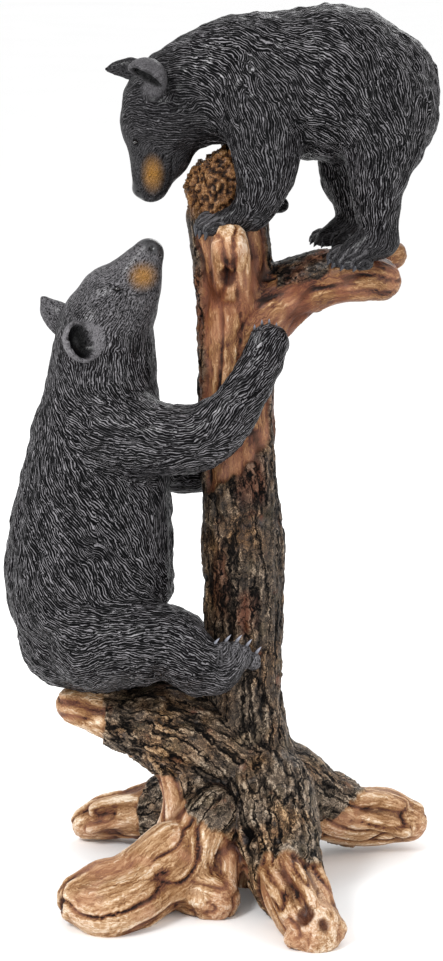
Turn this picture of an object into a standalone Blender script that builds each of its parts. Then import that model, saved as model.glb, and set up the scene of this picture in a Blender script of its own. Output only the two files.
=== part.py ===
"""Two black bears on a tree stump: a cast and painted garden statue.

Three castings are bonded together: the stump with its branch and roots, the bear that stands on
the branch, and the bear that sits on the side limb and hugs the trunk. Each is set out in the
millimetres of its drawn size and then brought to its own driving size.
"""

import math

import bmesh
import bpy
from mathutils import Matrix, Vector, noise

# Driving sizes, in metres
STUMP_HEIGHT = 0.620  # floor to the highest splinter of the broken trunk
UPPER_BEAR_LENGTH = 0.262  # brow to rump of the standing bear
LOWER_BEAR_HEIGHT = 0.393  # seat to nose of the climbing bear
BOND_GAP = 0.0003  # glue line between a bear and the wood it is bedded in

# The same three sizes as the stations below draw them, in millimetres
STUMP_DRAWN = 620
UPPER_BEAR_DRAWN = 262
LOWER_BEAR_DRAWN = 393

# Where each bear is bedded, in the stump's millimetres
BRANCH_FOOTHOLD = (120, -20, 540)
LIMB_SEAT = (-96, 0, 160)

# Carving, in millimetres
BARK_THICKNESS = 2.6
BARK_FURROW = 2.0
TOES = 5
EAR_OPENING = 0.8  # inside width of an ear as a share of its outside

# Fineness of the solids
MASS_VOXEL = 3.2
DETAIL_VOXEL = 2.2
STUMP_TRIANGLES = 3140
BEAR_TRIANGLES = 2950


def clear_scene():
    """Remove what the startup file holds."""
    for obj in list(bpy.data.objects):
        bpy.data.objects.remove(obj)


def new_collection(name):
    """A collection linked to the scene."""
    collection = bpy.data.collections.new(name)
    bpy.context.scene.collection.children.link(collection)
    return collection


def paint(name, colour, roughness):
    """A plain painted-resin material."""
    material = bpy.data.materials.new(name)
    material.use_nodes = True
    shader = material.node_tree.nodes["Principled BSDF"]
    shader.inputs["Base Color"].default_value = (*colour, 1)
    shader.inputs["Roughness"].default_value = roughness
    shader.inputs["Metallic"].default_value = 0
    return material


def ball(centre, radii):
    """An ellipsoid with the given half axes."""
    bpy.ops.mesh.primitive_uv_sphere_add(segments=24, ring_count=16, location=centre)
    egg = bpy.context.object
    egg.scale = radii
    return egg


def tube(stations, width=1.0):
    """A limb through stations (x, y, z, radius) with round ends; width stretches it along Y."""
    curve = bpy.data.curves.new("limb", "CURVE")
    curve.dimensions = "3D"
    curve.bevel_depth = 1
    curve.bevel_resolution = 6
    curve.resolution_u = 6
    curve.use_fill_caps = True
    spline = curve.splines.new("BEZIER")
    spline.bezier_points.add(len(stations) - 1)
    for point, (x, y, z, radius) in zip(spline.bezier_points, stations):
        point.co = (x, y / width, z)
        point.radius = radius
        point.handle_left_type = point.handle_right_type = "AUTO"
    limb = bpy.data.objects.new("limb", curve)
    limb.scale.y = width
    bpy.context.scene.collection.objects.link(limb)
    return [limb] + [ball((x, y, z), (r, r * width, r)) for x, y, z, r in (stations[0], stations[-1])]


def mirrored(stations, lift=0, depth=1.0):
    """The far side's copy of a near limb, raised and brought nearer the middle."""
    return [(x, -y * depth, z + lift, r) for x, y, z, r in stations]


def toes(first, last, radius, reach):
    """Toes side by side from the first to the last, each one reaching forward."""
    first, last, reach = Vector(first), Vector(last), Vector(reach)
    pieces = []
    for number in range(TOES):
        share = number / (TOES - 1)
        bow = math.sin(math.pi * (0.15 + 0.7 * share))
        root = first.lerp(last, share)
        tip = root + reach * bow
        pieces += tube([(*root, radius), (*tip, radius * 0.82)])
    return pieces


def cupped_ear(centre, facing, upward, radii, hollow=0.6):
    """An ear whose front is pressed in to a cup that looks along facing; hollow is the share pressed in."""
    ear = ball(centre, radii)
    back = -Vector(facing).normalized()
    upward = Vector(upward)
    upward = (upward - back * upward.dot(back)).normalized()
    ear.rotation_euler = Matrix((back.cross(upward), back, upward)).transposed().to_euler()
    for vertex in ear.data.vertices:
        if vertex.co.y < -0.01:
            vertex.co.x *= EAR_OPENING
            vertex.co.y *= -hollow
            vertex.co.z *= EAR_OPENING
    return ear


def fuse(name, pieces, voxel, smoothing):
    """One closed skin over overlapping pieces, with its creases softened."""
    bpy.context.view_layer.update()
    graph = bpy.context.evaluated_depsgraph_get()
    joined = bmesh.new()
    for piece in pieces:
        mesh = bpy.data.meshes.new_from_object(piece.evaluated_get(graph))
        mesh.transform(piece.matrix_world)
        joined.from_mesh(mesh)
        bpy.data.meshes.remove(mesh)
    for piece in pieces:
        bpy.data.objects.remove(piece)
    bmesh.ops.remove_doubles(joined, verts=joined.verts, dist=0.0001)
    skin = bpy.data.meshes.new(name)
    joined.to_mesh(skin)
    joined.free()
    form = bpy.data.objects.new(name, skin)
    bpy.context.scene.collection.objects.link(form)
    remesh = form.modifiers.new("one skin", "REMESH")
    remesh.mode = "VOXEL"
    remesh.voxel_size = voxel
    soften = form.modifiers.new("soft creases", "SMOOTH")
    soften.factor = 0.5
    soften.iterations = smoothing
    return keep_largest(bake(form))


def keep_largest(form):
    """Drop the specks of skin that a thin wall can leave inside it."""
    body = bmesh.new()
    body.from_mesh(form.data)
    waiting = set(body.verts)
    groups = []
    while waiting:
        group = {waiting.pop()}
        frontier = list(group)
        while frontier:
            for edge in frontier.pop().link_edges:
                for vertex in edge.verts:
                    if vertex in waiting:
                        waiting.remove(vertex)
                        group.add(vertex)
                        frontier.append(vertex)
        groups.append(group)
    groups.sort(key=len)
    specks = [vertex for group in groups[:-1] for vertex in group]
    bmesh.ops.delete(body, geom=specks, context="VERTS")
    body.to_mesh(form.data)
    body.free()
    return form


def bake(form):
    """Replace a form's mesh by its evaluated one, and drop its modifiers."""
    bpy.context.view_layer.update()
    mesh = bpy.data.meshes.new_from_object(form.evaluated_get(bpy.context.evaluated_depsgraph_get()))
    form.modifiers.clear()
    form.data = mesh
    return form


def thin_out(form, triangles):
    """Collapse the fine skin to about the number of triangles asked for."""
    form.data.calc_loop_triangles()
    decimate = form.modifiers.new("facets", "DECIMATE")
    decimate.ratio = triangles / len(form.data.loop_triangles)
    return bake(form)


# Stump


def trunk_and_limbs():
    """Trunk, the forked branch under the upper bear, the seat limb, the front stub and a knot."""
    trunk = [(29, 0, -10, 54), (29, 0, 30, 53), (26, 0, 75, 44), (20, 0, 118, 36), (18, 0, 160, 31),
             (19, 0, 222, 31.5), (18, 0, 290, 33), (15, 0, 345, 30), (12, 0, 400, 29.5), (12, 0, 447, 30),
             (12, 0, 489, 31), (9, 0, 530, 30.5), (5, 2, 565, 31), (3, 5, 600, 33), (3, 6, 616, 30)]
    branch = [(20, 0, 470, 30), (44, 0, 494, 28), (73, 0, 511, 24), (98, -10, 519, 22), (122, -18, 520, 21),
              (130, -18, 518, 18)]
    far_lobe = [(60, 8, 508, 22), (98, 22, 517, 19), (126, 29, 524, 16), (144, 32, 531, 12)]
    stub = [(8, -14, 505, 19), (7, -32, 530, 17), (6, -47, 553, 15.5)]
    seat_limb = [(29, 0, 66, 50), (8, 0, 92, 48), (-19, 0, 113, 46), (-53, 0, 129, 38), (-79, 0, 134, 28),
                 (-104, 0, 141, 22), (-126, 0, 146, 17)]
    knot = [(-8, -8, 514, 13), (-14, -10, 516, 8)]
    pieces = []
    for stations in (trunk, branch, far_lobe, stub, seat_limb, knot):
        pieces += tube(stations)
    return pieces


def roots():
    """The roots, from the foot of the trunk out to their broken ends."""
    front_left = [(-10, -60, 60, 30), (-30, -86, 36, 27), (-58, -114, 24, 25), (-92, -144, 18, 25), (-118, -134, 19, 17)]
    front_left_back = [(-44, -88, 50, 22), (-72, -108, 32, 23), (-98, -118, 27, 23), (-118, -128, 24, 17)]
    front_left_heel = [(-20, -100, 16, 22), (-4, -110, 14, 20)]
    front = [(38, -30, 72, 42), (46, -70, 50, 36), (56, -112, 28, 28), (67, -150, 16, 24), (76, -174, 12, 22)]
    right = [(50, 6, 72, 38), (86, 26, 48, 30), (118, 38, 32, 26), (146, 42, 30, 25), (164, 44, 26, 19)]
    back_left = [(-10, 30, 66, 34), (-44, 46, 40, 28), (-80, 58, 26, 24), (-108, 64, 20, 20), (-120, 64, 16, 15)]
    back = [(24, 40, 60, 36), (22, 80, 32, 28), (18, 112, 20, 23), (14, 130, 16, 18)]
    pieces = []
    for stations in (front_left, front_left_back, front_left_heel, front, right, back_left, back):
        pieces += tube(stations)
    return pieces


def root_strands():
    """Fluted strands of bare wood that run from under the seat limb into the front-left root."""
    heads = [(-52, -24, 106, 8), (-34, -30, 100, 8), (-18, -38, 92, 9), (0, -44, 82, 9)]
    waists = [(-42, -46, 84, 9), (-26, -56, 71, 9), (-14, -66, 61, 11), (3, -72, 52, 10)]
    knees = [(-44, -66, 58, 11), (-26, -82, 41, 10), (-14, -94, 33, 13), (3, -98, 26, 12)]
    feet = [(-64, -92, 42, 14), (-36, -108, 20, 14), (-16, -116, 13, 14), (-3, -114, 11, 12)]
    pieces = []
    for stations in zip(heads, waists, knees, feet):
        pieces += tube(stations)
    return pieces


def root_end_ribs():
    """Ribs along the bare ends of the other roots."""
    lines = [
        ((52, -112, 54), (70, -170, 34), 7),
        ((36, -112, 44), (52, -170, 26), 7),
        ((72, -108, 46), (90, -166, 20), 7),
        ((60, -182, 8), (92, -174, 12), 10),
        ((112, 20, 54), (158, 26, 46), 7),
        ((110, 14, 36), (160, 22, 24), 7),
        ((-60, 36, 44), (-112, 48, 34), 6),
        ((-62, 34, 26), (-116, 46, 18), 6),
    ]
    pieces = []
    for start, end, radius in lines:
        middle = [(a + b) / 2 for a, b in zip(start, end)]
        middle[2] += 3
        pieces += tube([(*start, radius), (*middle, radius + 1), (*end, radius)])
    return pieces


def bare_wood(x, y, z):
    """True where the bark is gone: round the stub, under the branch, and at the ends of limb and roots."""
    frayed = 9 * noise.noise(Vector((x * 0.05, y * 0.05, z * 0.03)))
    if z > 440 and x > 46:
        return z < 515 + 0.35 * (x - 60) + 0.5 * frayed and y < 12 + frayed or x > 88 + 0.6 * frayed
    if z > 110:
        side = math.degrees(math.atan2(x - 12, -y))
        lower_edge = 372 + 1.1 * (x - 12) + frayed
        front = z > lower_edge and -34 + frayed < side < 62 + frayed
        return front or z > 578 + 2.5 * frayed or x < -99 + 0.6 * frayed
    if y < -40 and x < 24:
        return z < 96 - 0.72 * (x + 50) + frayed
    if y < -60:
        return y < -122 + frayed
    under_right_root = x > 60 and y < 30 and z < 46 + 0.35 * (x - 90) + frayed
    return under_right_root or math.hypot(x - 24, y) > 104 + frayed


def carve_bark(stump):
    """Raise the bark over the bare wood and furrow it along the trunk."""
    outward = [vertex.normal.copy() for vertex in stump.data.vertices]
    for vertex, normal in zip(stump.data.vertices, outward):
        x, y, z = vertex.co
        along = 0.075 if z < 80 else 0.02
        furrow = BARK_FURROW * noise.noise(Vector((x * 0.09, y * 0.09, z * along)))
        height = furrow if bare_wood(x, y, z) else furrow + BARK_THICKNESS
        vertex.co += normal * height


def break_top(stump):
    """Splinter the top of the trunk, low at the left and high in the middle."""
    for vertex in stump.data.vertices:
        x, y, z = vertex.co
        if z > 560 and x < 60 and y > -32:
            tooth = 8 * noise.noise(Vector((x * 0.12, y * 0.12, 4.0)))
            rim = min(612 + 0.9 * (x + 4), 616 - 0.5 * (x - 6)) + tooth
            vertex.co.z = min(z, rim + 0.2 * (z - rim))


def cut_foot(stump):
    """Cut the roots off level at the floor."""
    body = bmesh.new()
    body.from_mesh(stump.data)
    everything = body.verts[:] + body.edges[:] + body.faces[:]
    bmesh.ops.bisect_plane(body, geom=everything, plane_co=(0, 0, 0), plane_no=(0, 0, 1), clear_inner=True)
    rim = [edge for edge in body.edges if edge.is_boundary]
    bmesh.ops.holes_fill(body, edges=rim, sides=0)
    body.to_mesh(stump.data)
    body.free()


def build_stump():
    """The stump casting, in its own millimetres."""
    stump = fuse("tree_stump", trunk_and_limbs() + roots(), MASS_VOXEL, 5)
    stump = fuse("tree_stump", [stump] + root_strands() + root_end_ribs(), DETAIL_VOXEL, 2)
    break_top(stump)
    carve_bark(stump)
    cut_foot(stump)
    thin_out(stump, STUMP_TRIANGLES)
    for vertex in stump.data.vertices:
        if vertex.co.z < 0.5:
            vertex.co.z = 0
    return stump


# Bears


def build_upper_bear():
    """The bear that stands on the branch with its head hanging down."""
    torso = [(122, 0, 668, 57), (106, 0, 673, 65), (86, 0, 676, 65), (62, 0, 676, 61), (36, 0, 677, 57),
             (14, 0, 678, 55), (-12, 0, 672, 48), (-34, 0, 663, 43)]
    skull = [(-42, 0, 657, 40), (-49, 0, 640, 35.5), (-50, 0, 622, 27)]
    snout = [(-50, 0, 632, 29), (-53, 0, 615, 24), (-56, 0, 603, 20), (-58, 0, 594, 16)]
    near_fore = [(34, -24, 657, 38), (36, -34, 626, 30), (35, -37, 606, 25), (31, -36, 590, 21), (25, -34, 577, 17)]
    near_fore_foot = [(24, -34, 574, 15), (8, -36, 570, 11), (-8, -37, 564, 9)]
    far_fore = [(30, 24, 650, 38), (22, 34, 618, 23), (22, 36, 594, 17), (34, 37, 578, 13), (50, 34, 573, 8)]
    near_hind = [(132, -22, 655, 44), (130, -32, 625, 33), (127, -35, 606, 26), (126, -36, 585, 20), (128, -36, 562, 16)]
    near_hind_foot = [(130, -36, 552, 15), (116, -37, 547, 14), (104, -38, 541, 11)]
    far_hind = [(118, 22, 650, 44), (106, 32, 618, 29), (103, 35, 596, 21), (110, 36, 574, 16)]
    far_hind_foot = [(112, 36, 556, 14), (98, 36, 550, 12), (88, 36, 545, 9)]
    masses = tube(torso, 0.84) + tube(skull, 0.9) + tube(snout, 0.74)
    for limb in (near_fore, near_fore_foot, far_fore, near_hind, near_hind_foot, far_hind, far_hind_foot):
        masses += tube(limb)
    bear = fuse("upper_bear", masses, MASS_VOXEL, 6)
    details = [ball((-65, 0, 591), (9, 11, 9)), ball((-51, 0, 595), (10, 10, 9))]
    details.append(cupped_ear((-61, -43, 682), (-0.48, -0.35, -0.8), (0.87, 0, -0.48), (15, 19, 18)))
    details += tube([(-56, 24, 681, 11), (-76, 28, 686, 10), (-88, 29, 686, 6.5), (-95, 30, 685, 3)], 0.5)
    details += toes((117, -57, 537), (97, -25, 542), 6.2, (-12, -1, -4))
    details += toes((102, 24, 544), (84, 49, 546), 5.8, (-10, 0, -3))
    details += toes((-5, -48, 563), (-12, -25, 570), 5.8, (-8, -1, -3))
    bear = fuse("upper_bear", [bear] + details, DETAIL_VOXEL, 1)
    return thin_out(bear, BEAR_TRIANGLES)


def build_lower_bear():
    """The bear that sits on the limb, hugs the trunk and looks up."""
    torso = [(-99, 0, 437, 46), (-100, 0, 413, 50), (-103, 0, 388, 56), (-105, 0, 353, 62), (-109, 0, 310, 69),
             (-112, 0, 266, 73), (-110, 0, 234, 70), (-106, 0, 214, 54)]
    rump = [(-127, 0, 209, 47), (-104, 0, 207, 45)]
    skull = [(-98, 0, 452, 43), (-94, -1, 478, 41), (-87, -3, 494, 35)]
    snout = [(-86, -3, 494, 33), (-73, -6, 514, 26.5), (-64, -9, 531, 18), (-60, -10, 538, 14)]
    near_arm = [(-86, -22, 392, 40), (-51, -42, 389, 31), (-18, -50, 392, 28), (3, -53, 407, 24), (20, -52, 431, 19),
                (33, -46, 455, 18), (39, -43, 469, 16.5)]
    far_arm = [(-82, 22, 376, 38), (-49, 43, 353, 27), (-19, 51, 345, 22), (6, 51, 362, 20), (24, 43, 390, 17)]
    near_leg = [(-102, -28, 212, 44), (-68, -48, 216, 37), (-43, -54, 217, 31), (-26, -55, 204, 26)]
    near_foot = [(-20, -54, 190, 19), (-2, -51, 190, 17), (8, -49, 202, 15)]
    masses = tube(torso, 0.86) + tube(rump, 0.9) + tube(skull, 0.92) + tube(snout, 0.8)
    for limb in (near_arm, far_arm, near_leg, near_foot):
        masses += tube(limb)
    masses += tube(mirrored(near_leg, -28, 0.9)) + tube(mirrored(near_foot, -28, 0.9))
    bear = fuse("lower_bear", masses, MASS_VOXEL, 6)
    details = [cupped_ear((-112, -48, 472), (0.72, -0.6, 0.35), (0.4, 0, -0.92), (16, 19, 19), 0.75)]
    details += tube([(-122, 16, 470, 15), (-136, 21, 480, 14), (-145, 25, 488, 10), (-149, 26, 494, 5)], 0.5)
    details += [ball((-60, -10, 539), (9, 9, 8)), ball((-66, -9, 524), (11, 10, 10))]
    details += toes((27, -50, 472), (51, -37, 465), 5.4, (0, 2, 13))
    details += toes((-8, -61, 209), (27, -46, 197), 6.2, (2, -1, 12))
    details += toes((-8, 55, 181), (27, 41, 169), 6.2, (2, 1, 12))
    bear = fuse("lower_bear", [bear] + details, DETAIL_VOXEL, 1)
    return thin_out(bear, BEAR_TRIANGLES)


def scale_about(form, anchor, size, drawn):
    """Bring a form from millimetres to metres about its anchor, which stays on the stump."""
    on_stump = Vector(anchor) * (STUMP_HEIGHT / STUMP_DRAWN)
    drawn_at = Vector(anchor)
    form.data.transform(Matrix.Translation(on_stump) @ Matrix.Scale(size / drawn, 4) @ Matrix.Translation(-drawn_at))


def bed(stump, bear, cutters):
    """Cut the stump clear of a bear, with the bond gap all round."""
    cutter = bpy.data.objects.new(bear.name + "_bed", bear.data.copy())
    cutters.objects.link(cutter)
    cutter.hide_render = True
    cutter.display_type = "WIRE"
    grow = cutter.modifiers.new("bond gap", "DISPLACE")
    grow.mid_level = 0
    grow.strength = BOND_GAP
    cut = stump.modifiers.new(bear.name + " bed", "BOOLEAN")
    cut.operation = "DIFFERENCE"
    cut.solver = "EXACT"
    cut.use_self = True
    cut.object = cutter
    return cutter


def centre_on_floor(forms, cutters):
    """Move the statue so that the middle of its outline on the floor is the origin."""
    corners = [vertex.co for form in forms for vertex in form.data.vertices]
    spans = [(min(c[axis] for c in corners), max(c[axis] for c in corners)) for axis in range(2)]
    origin = bpy.data.objects.new("statue_origin", None)
    bpy.context.scene.collection.objects.link(origin)
    origin.location = [-(low + high) / 2 for low, high in spans] + [0]
    for form in forms + cutters:
        form.parent = origin


def main():
    """Build the three castings, bed the bears in the stump and centre the statue."""
    clear_scene()
    statue = new_collection("bear statue")
    beds = new_collection("cutters")
    stump = build_stump()
    upper = build_upper_bear()
    lower = build_lower_bear()
    scale_about(stump, (0, 0, 0), STUMP_HEIGHT, STUMP_DRAWN)
    scale_about(upper, BRANCH_FOOTHOLD, UPPER_BEAR_LENGTH, UPPER_BEAR_DRAWN)
    scale_about(lower, LIMB_SEAT, LOWER_BEAR_HEIGHT, LOWER_BEAR_DRAWN)
    wood = paint("wood_and_bark", (0.36, 0.22, 0.12), 0.6)
    finishes = [wood, paint("upper_fur", (0.035, 0.035, 0.04), 0.45), paint("lower_fur", (0.035, 0.035, 0.04), 0.45)]
    for form, finish in zip((stump, upper, lower), finishes):
        for collection in form.users_collection:
            collection.objects.unlink(form)
        statue.objects.link(form)
        form.data.materials.clear()
        form.data.materials.append(finish)
    cutters = [bed(stump, bear, beds) for bear in (upper, lower)]
    centre_on_floor([stump, upper, lower], cutters)


main()
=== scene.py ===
"""Looks of the bear statue: carved fur, bark, bare wood, claws, eyes and their paint.

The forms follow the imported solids, in the same millimetre stations, but on a fine skin that carries
the carving. The statue's middle on the floor is the origin; the photographed side faces -Y.
"""

import itertools
import logging
import math
from dataclasses import dataclass, field
from enum import Enum

import bmesh
import bpy
import numpy as np
from mathutils import Matrix, Vector, noise
from mathutils.kdtree import KDTree

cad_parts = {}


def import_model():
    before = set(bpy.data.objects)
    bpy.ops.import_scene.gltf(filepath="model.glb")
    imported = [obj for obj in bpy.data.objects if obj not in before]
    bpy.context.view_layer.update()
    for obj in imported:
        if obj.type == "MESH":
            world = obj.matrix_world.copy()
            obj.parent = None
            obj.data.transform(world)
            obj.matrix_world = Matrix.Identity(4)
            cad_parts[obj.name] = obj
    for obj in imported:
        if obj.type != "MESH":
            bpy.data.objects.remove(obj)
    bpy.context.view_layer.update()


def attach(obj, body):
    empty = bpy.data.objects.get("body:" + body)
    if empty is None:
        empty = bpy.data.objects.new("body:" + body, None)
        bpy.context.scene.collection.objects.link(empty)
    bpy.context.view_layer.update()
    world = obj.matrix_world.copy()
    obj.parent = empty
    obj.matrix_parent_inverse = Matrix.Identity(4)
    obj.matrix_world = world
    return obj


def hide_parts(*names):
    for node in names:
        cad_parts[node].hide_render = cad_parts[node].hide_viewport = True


LOG = logging.getLogger("bear_statue")

Point = tuple[float, float, float]
Station = tuple[float, float, float, float]
Colour = tuple[float, float, float]
Stops = tuple[tuple[float, Colour], ...]
Socket = bpy.types.NodeSocket

MM = 0.001
STATUE_SHIFT = (0.4, 24.1, 0.0)  # from the millimetres of the stations to the statue's own middle
PICTURE_HEIGHT = 961

# Forms: counts and shares, and skins in millimetres
TOES = 5
EAR_OPENING = 0.8  # inside width of an ear as a share of its outside
MASS_VOXEL = 3.2
DETAIL_VOXEL = 2.2
FINAL_SOFTNESS = 3
CLAW_RINGS = 7
CLAW_SIDES = 10

# Carved fur, in millimetres; the second number says how much less it is on a face
STROKE_SPACING = 2.8
STROKE_LENGTH = (11.5, 7.5)
STROKE_WIDTH = (1.6, 0.5)
STROKE_NEIGHBOURS = 11
LOCK_NEIGHBOURS = 6
FUR_RELIEF = 1.15
TUFT_RELIEF = 1.5

# Carved wood and bark, in millimetres
FLUTE_RELIEF = 4.4
PLATE_RELIEF = 4.6
CRUMB_RELIEF = 6.5

# Shifts that keep the painted pattern of each limb and each lock its own
LIMB_SHIFT = 137
LOCK_SHIFT = 0.37


class Slot(Enum):
    """The record's material slots."""

    WOOD = "wood_and_bark"
    UPPER_FUR = "upper_fur"
    LOWER_FUR = "lower_fur"


class Combing(Enum):
    """Which way the fur lies along a limb's stations."""

    ALONG = 1
    AGAINST = -1


# Patterns worked out on arrays of points


def hashed(cell: np.ndarray, seed: int) -> np.ndarray:
    """A fixed number from 0 to 1 for each whole-number cell.

    Args:
        cell: whole-number cells, one row each.
        seed: which set of numbers to give.

    Returns:
        One number for each cell.
    """
    # The large numbers only scramble the bits
    mixed = cell[:, 0] * 73856093 ^ cell[:, 1] * 19349663 ^ cell[:, 2] * 83492791 ^ (seed + 1) * 2654435761
    mixed = (mixed ^ (mixed >> 15)) * 2246822519 & 0xFFFFFFFF
    mixed = (mixed ^ (mixed >> 13)) * 3266489917 & 0xFFFFFFFF
    return (mixed ^ (mixed >> 16)) / 0xFFFFFFFF


def soft_noise(points: np.ndarray, seed: int = 0) -> np.ndarray:
    """Smooth noise with unit-sized swells.

    Args:
        points: places, one row each.
        seed: which noise to give.

    Returns:
        Values from -1 to 1.
    """
    base = np.floor(points).astype(np.int64)
    part = points - base
    fade = part * part * (3 - 2 * part)
    total = np.zeros(len(points))
    for corner in itertools.product((0, 1), repeat=3):
        weight = np.prod(np.where(corner, fade, 1 - fade), axis=1)
        total += weight * hashed(base + corner, seed)
    return total * 2 - 1


def rough_noise(points: np.ndarray, octaves: int, seed: int = 0) -> np.ndarray:
    """Noise with finer and finer swells added to it.

    Args:
        points: places, one row each.
        octaves: how many sizes of swell.
        seed: which noise to give.

    Returns:
        Values from about -1 to 1.
    """
    total = np.zeros(len(points))
    for octave in range(octaves):
        total += soft_noise(points * 2**octave, seed + octave) / 2**octave
    return total / (2 - 2 ** (1 - octaves))


def cracked_cells(points: np.ndarray, seed: int = 0) -> tuple[np.ndarray, np.ndarray]:
    """Irregular unit-sized plates with cracks between them.

    Args:
        points: places, one row each.
        seed: which plates to give.

    Returns:
        How far each place is from a crack, and its plate's own number from 0 to 1.
    """
    base = np.floor(points).astype(np.int64)
    first = np.full(len(points), 9.0)
    second = np.full(len(points), 9.0)
    own = np.zeros(len(points))
    for offset in itertools.product((-1, 0, 1), repeat=3):
        cell = base + offset
        jitter = np.stack([hashed(cell, seed + axis) for axis in range(3)], axis=1)
        gap = np.linalg.norm(cell + jitter - points, axis=1)
        nearer = gap < first
        second = np.where(nearer, first, np.minimum(second, gap))
        own = np.where(nearer, hashed(cell, seed + 7), own)
        first = np.where(nearer, gap, first)
    return second - first, own


def step_between(low: float, high: float, values: np.ndarray) -> np.ndarray:
    """A smooth step from 0 at low to 1 at high."""
    share = np.clip((values - low) / (high - low), 0, 1)
    return share * share * (3 - 2 * share)


def unit(vectors: np.ndarray) -> np.ndarray:
    """Each row brought to length 1."""
    return vectors / np.maximum(np.linalg.norm(vectors, axis=1, keepdims=True), 1e-9)


def away(points: np.ndarray, centre: Point, squash: Point = (1, 1, 1)) -> np.ndarray:
    """How far each place is from a centre, with the three axes scaled by squash."""
    return np.linalg.norm((points - np.array(centre)) * squash, axis=1)


def swells(points: np.ndarray, *seeds: int) -> np.ndarray:
    """One column of soft noise for each seed."""
    return np.stack([soft_noise(points, seed) for seed in seeds], axis=1)


def rows_of(items: bpy.types.bpy_prop_collection, name: str, width: int, kind: type = float) -> np.ndarray:
    """Read one property of all of a mesh's vertices, edges, corners or faces.

    Args:
        items: what is read.
        name: the property's name.
        width: how many numbers it holds.
        kind: whole numbers or not.

    Returns:
        One row for each item.
    """
    values = np.empty(len(items) * width, kind)
    items.foreach_get(name, values)
    return values.reshape(-1, width)


# Forms


def placed(name: str, data: bpy.types.ID) -> bpy.types.Object:
    """A new object in the scene.

    Args:
        name: the object's name.
        data: its mesh, curve, lamp or camera.

    Returns:
        The object.
    """
    made = bpy.data.objects.new(name, data)
    bpy.context.scene.collection.objects.link(made)
    return made


@dataclass(frozen=True)
class Limb:
    """A rounded limb through stations (x, y, z, radius) in millimetres.

    Attributes:
        stations: centres and radii along the limb.
        width: how much its section is stretched along Y.
        combing: which way fur lies on it.
        fineness: 0 for long fur, 1 for the fine fur of a face.
    """

    stations: tuple[Station, ...]
    width: float = 1.0
    combing: Combing = Combing.ALONG
    fineness: float = 0.0

    def build(self) -> list[bpy.types.Object]:
        """The limb's tube and the round ends that close it.

        Returns:
            The tube and a ball at each end.
        """
        curve = bpy.data.curves.new("limb", "CURVE")
        curve.dimensions = "3D"
        curve.bevel_depth = 1
        curve.bevel_resolution = 6
        curve.resolution_u = 6
        curve.use_fill_caps = True
        spline = curve.splines.new("BEZIER")
        spline.bezier_points.add(len(self.stations) - 1)
        for point, (x, y, z, radius) in zip(spline.bezier_points, self.stations):
            point.co = (x, y / self.width, z)
            point.radius = radius
            point.handle_left_type = point.handle_right_type = "AUTO"
        tube = placed("limb", curve)
        tube.scale.y = self.width
        ends = []
        for x, y, z, radius in (self.stations[0], self.stations[-1]):
            ends += Lump((x, y, z), (radius, radius * self.width, radius)).build()
        return [tube, *ends]

    def spine(self, spacing: float = 3.0) -> np.ndarray:
        """Stations filled in along the limb.

        Args:
            spacing: millimetres from one row to the next.

        Returns:
            Rows of x, y, z and radius.
        """
        knots = np.array(self.stations, float)
        padded = np.vstack([2 * knots[0] - knots[1], knots, 2 * knots[-1] - knots[-2]])
        rows = []
        for before, start, end, after in zip(padded, padded[1:], padded[2:], padded[3:]):
            count = max(2, int(np.linalg.norm(end[:3] - start[:3]) / spacing))
            t = np.linspace(0, 1, count, endpoint=False)[:, None]
            bend = 2 * start + (end - before) * t + (2 * before - 5 * start + 4 * end - after) * t**2
            rows.append(0.5 * (bend + (3 * start - before - 3 * end + after) * t**3))
        rows.append(knots[-1:])
        return np.vstack(rows)


@dataclass(frozen=True)
class Toe(Limb):
    """A short limb, parted from its neighbours by a groove."""

    fineness: float = 0.8


@dataclass(frozen=True)
class Lump:
    """An ellipsoid."""

    centre: Point
    radii: Point

    def build(self) -> list[bpy.types.Object]:
        """The ellipsoid as one object in a list.

        Returns:
            A list of that one object.
        """
        bpy.ops.mesh.primitive_uv_sphere_add(segments=24, ring_count=16, location=self.centre)
        egg = bpy.context.object
        egg.scale = self.radii
        return [egg]


@dataclass(frozen=True)
class Ear:
    """A cupped ear, in millimetres.

    Attributes:
        centre: middle of the opening.
        facing: which way the opening looks.
        upward: which way its longer side runs.
        radii: half the opening's width, the depth of the back, half the opening's height.
        hollow: how much of the depth the cup takes.
    """

    centre: Point
    facing: Point
    upward: Point
    radii: Point
    hollow: float = 0.6

    def build(self) -> list[bpy.types.Object]:
        """The ear as one object in a list: a ball with its front pressed in.

        Returns:
            A list of that one object.
        """
        (cup,) = Lump(self.centre, self.radii).build()
        back = -Vector(self.facing).normalized()
        upward = Vector(self.upward)
        upward = (upward - back * upward.dot(back)).normalized()
        cup.rotation_euler = Matrix((back.cross(upward), back, upward)).transposed().to_euler()
        for vertex in cup.data.vertices:
            if vertex.co.y < -0.01:
                vertex.co.x *= EAR_OPENING
                vertex.co.y *= -self.hollow
                vertex.co.z *= EAR_OPENING
        return [cup]

    def distance(self, points: np.ndarray) -> np.ndarray:
        """How far each place is from the ear's middle, in its largest radii."""
        return away(points, self.centre) / max(self.radii)

    def inside(self, skin: "Skin") -> np.ndarray:
        """Where the inside of the cup is on a skin, from 0 to 1.

        Args:
            skin: the bear's skin.

        Returns:
            1 in the cup, 0 elsewhere.
        """
        facing = np.array(self.facing) / np.linalg.norm(self.facing)
        offset = skin.points - np.array(self.centre)
        depth = -(offset @ facing)
        aside = np.linalg.norm(offset + depth[:, None] * facing, axis=1) / max(self.radii)
        turned = step_between(0.1, 0.6, skin.normals @ facing)
        return turned * step_between(1.5, 5, depth) * (1 - step_between(0.75, 0.95, aside))


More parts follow.
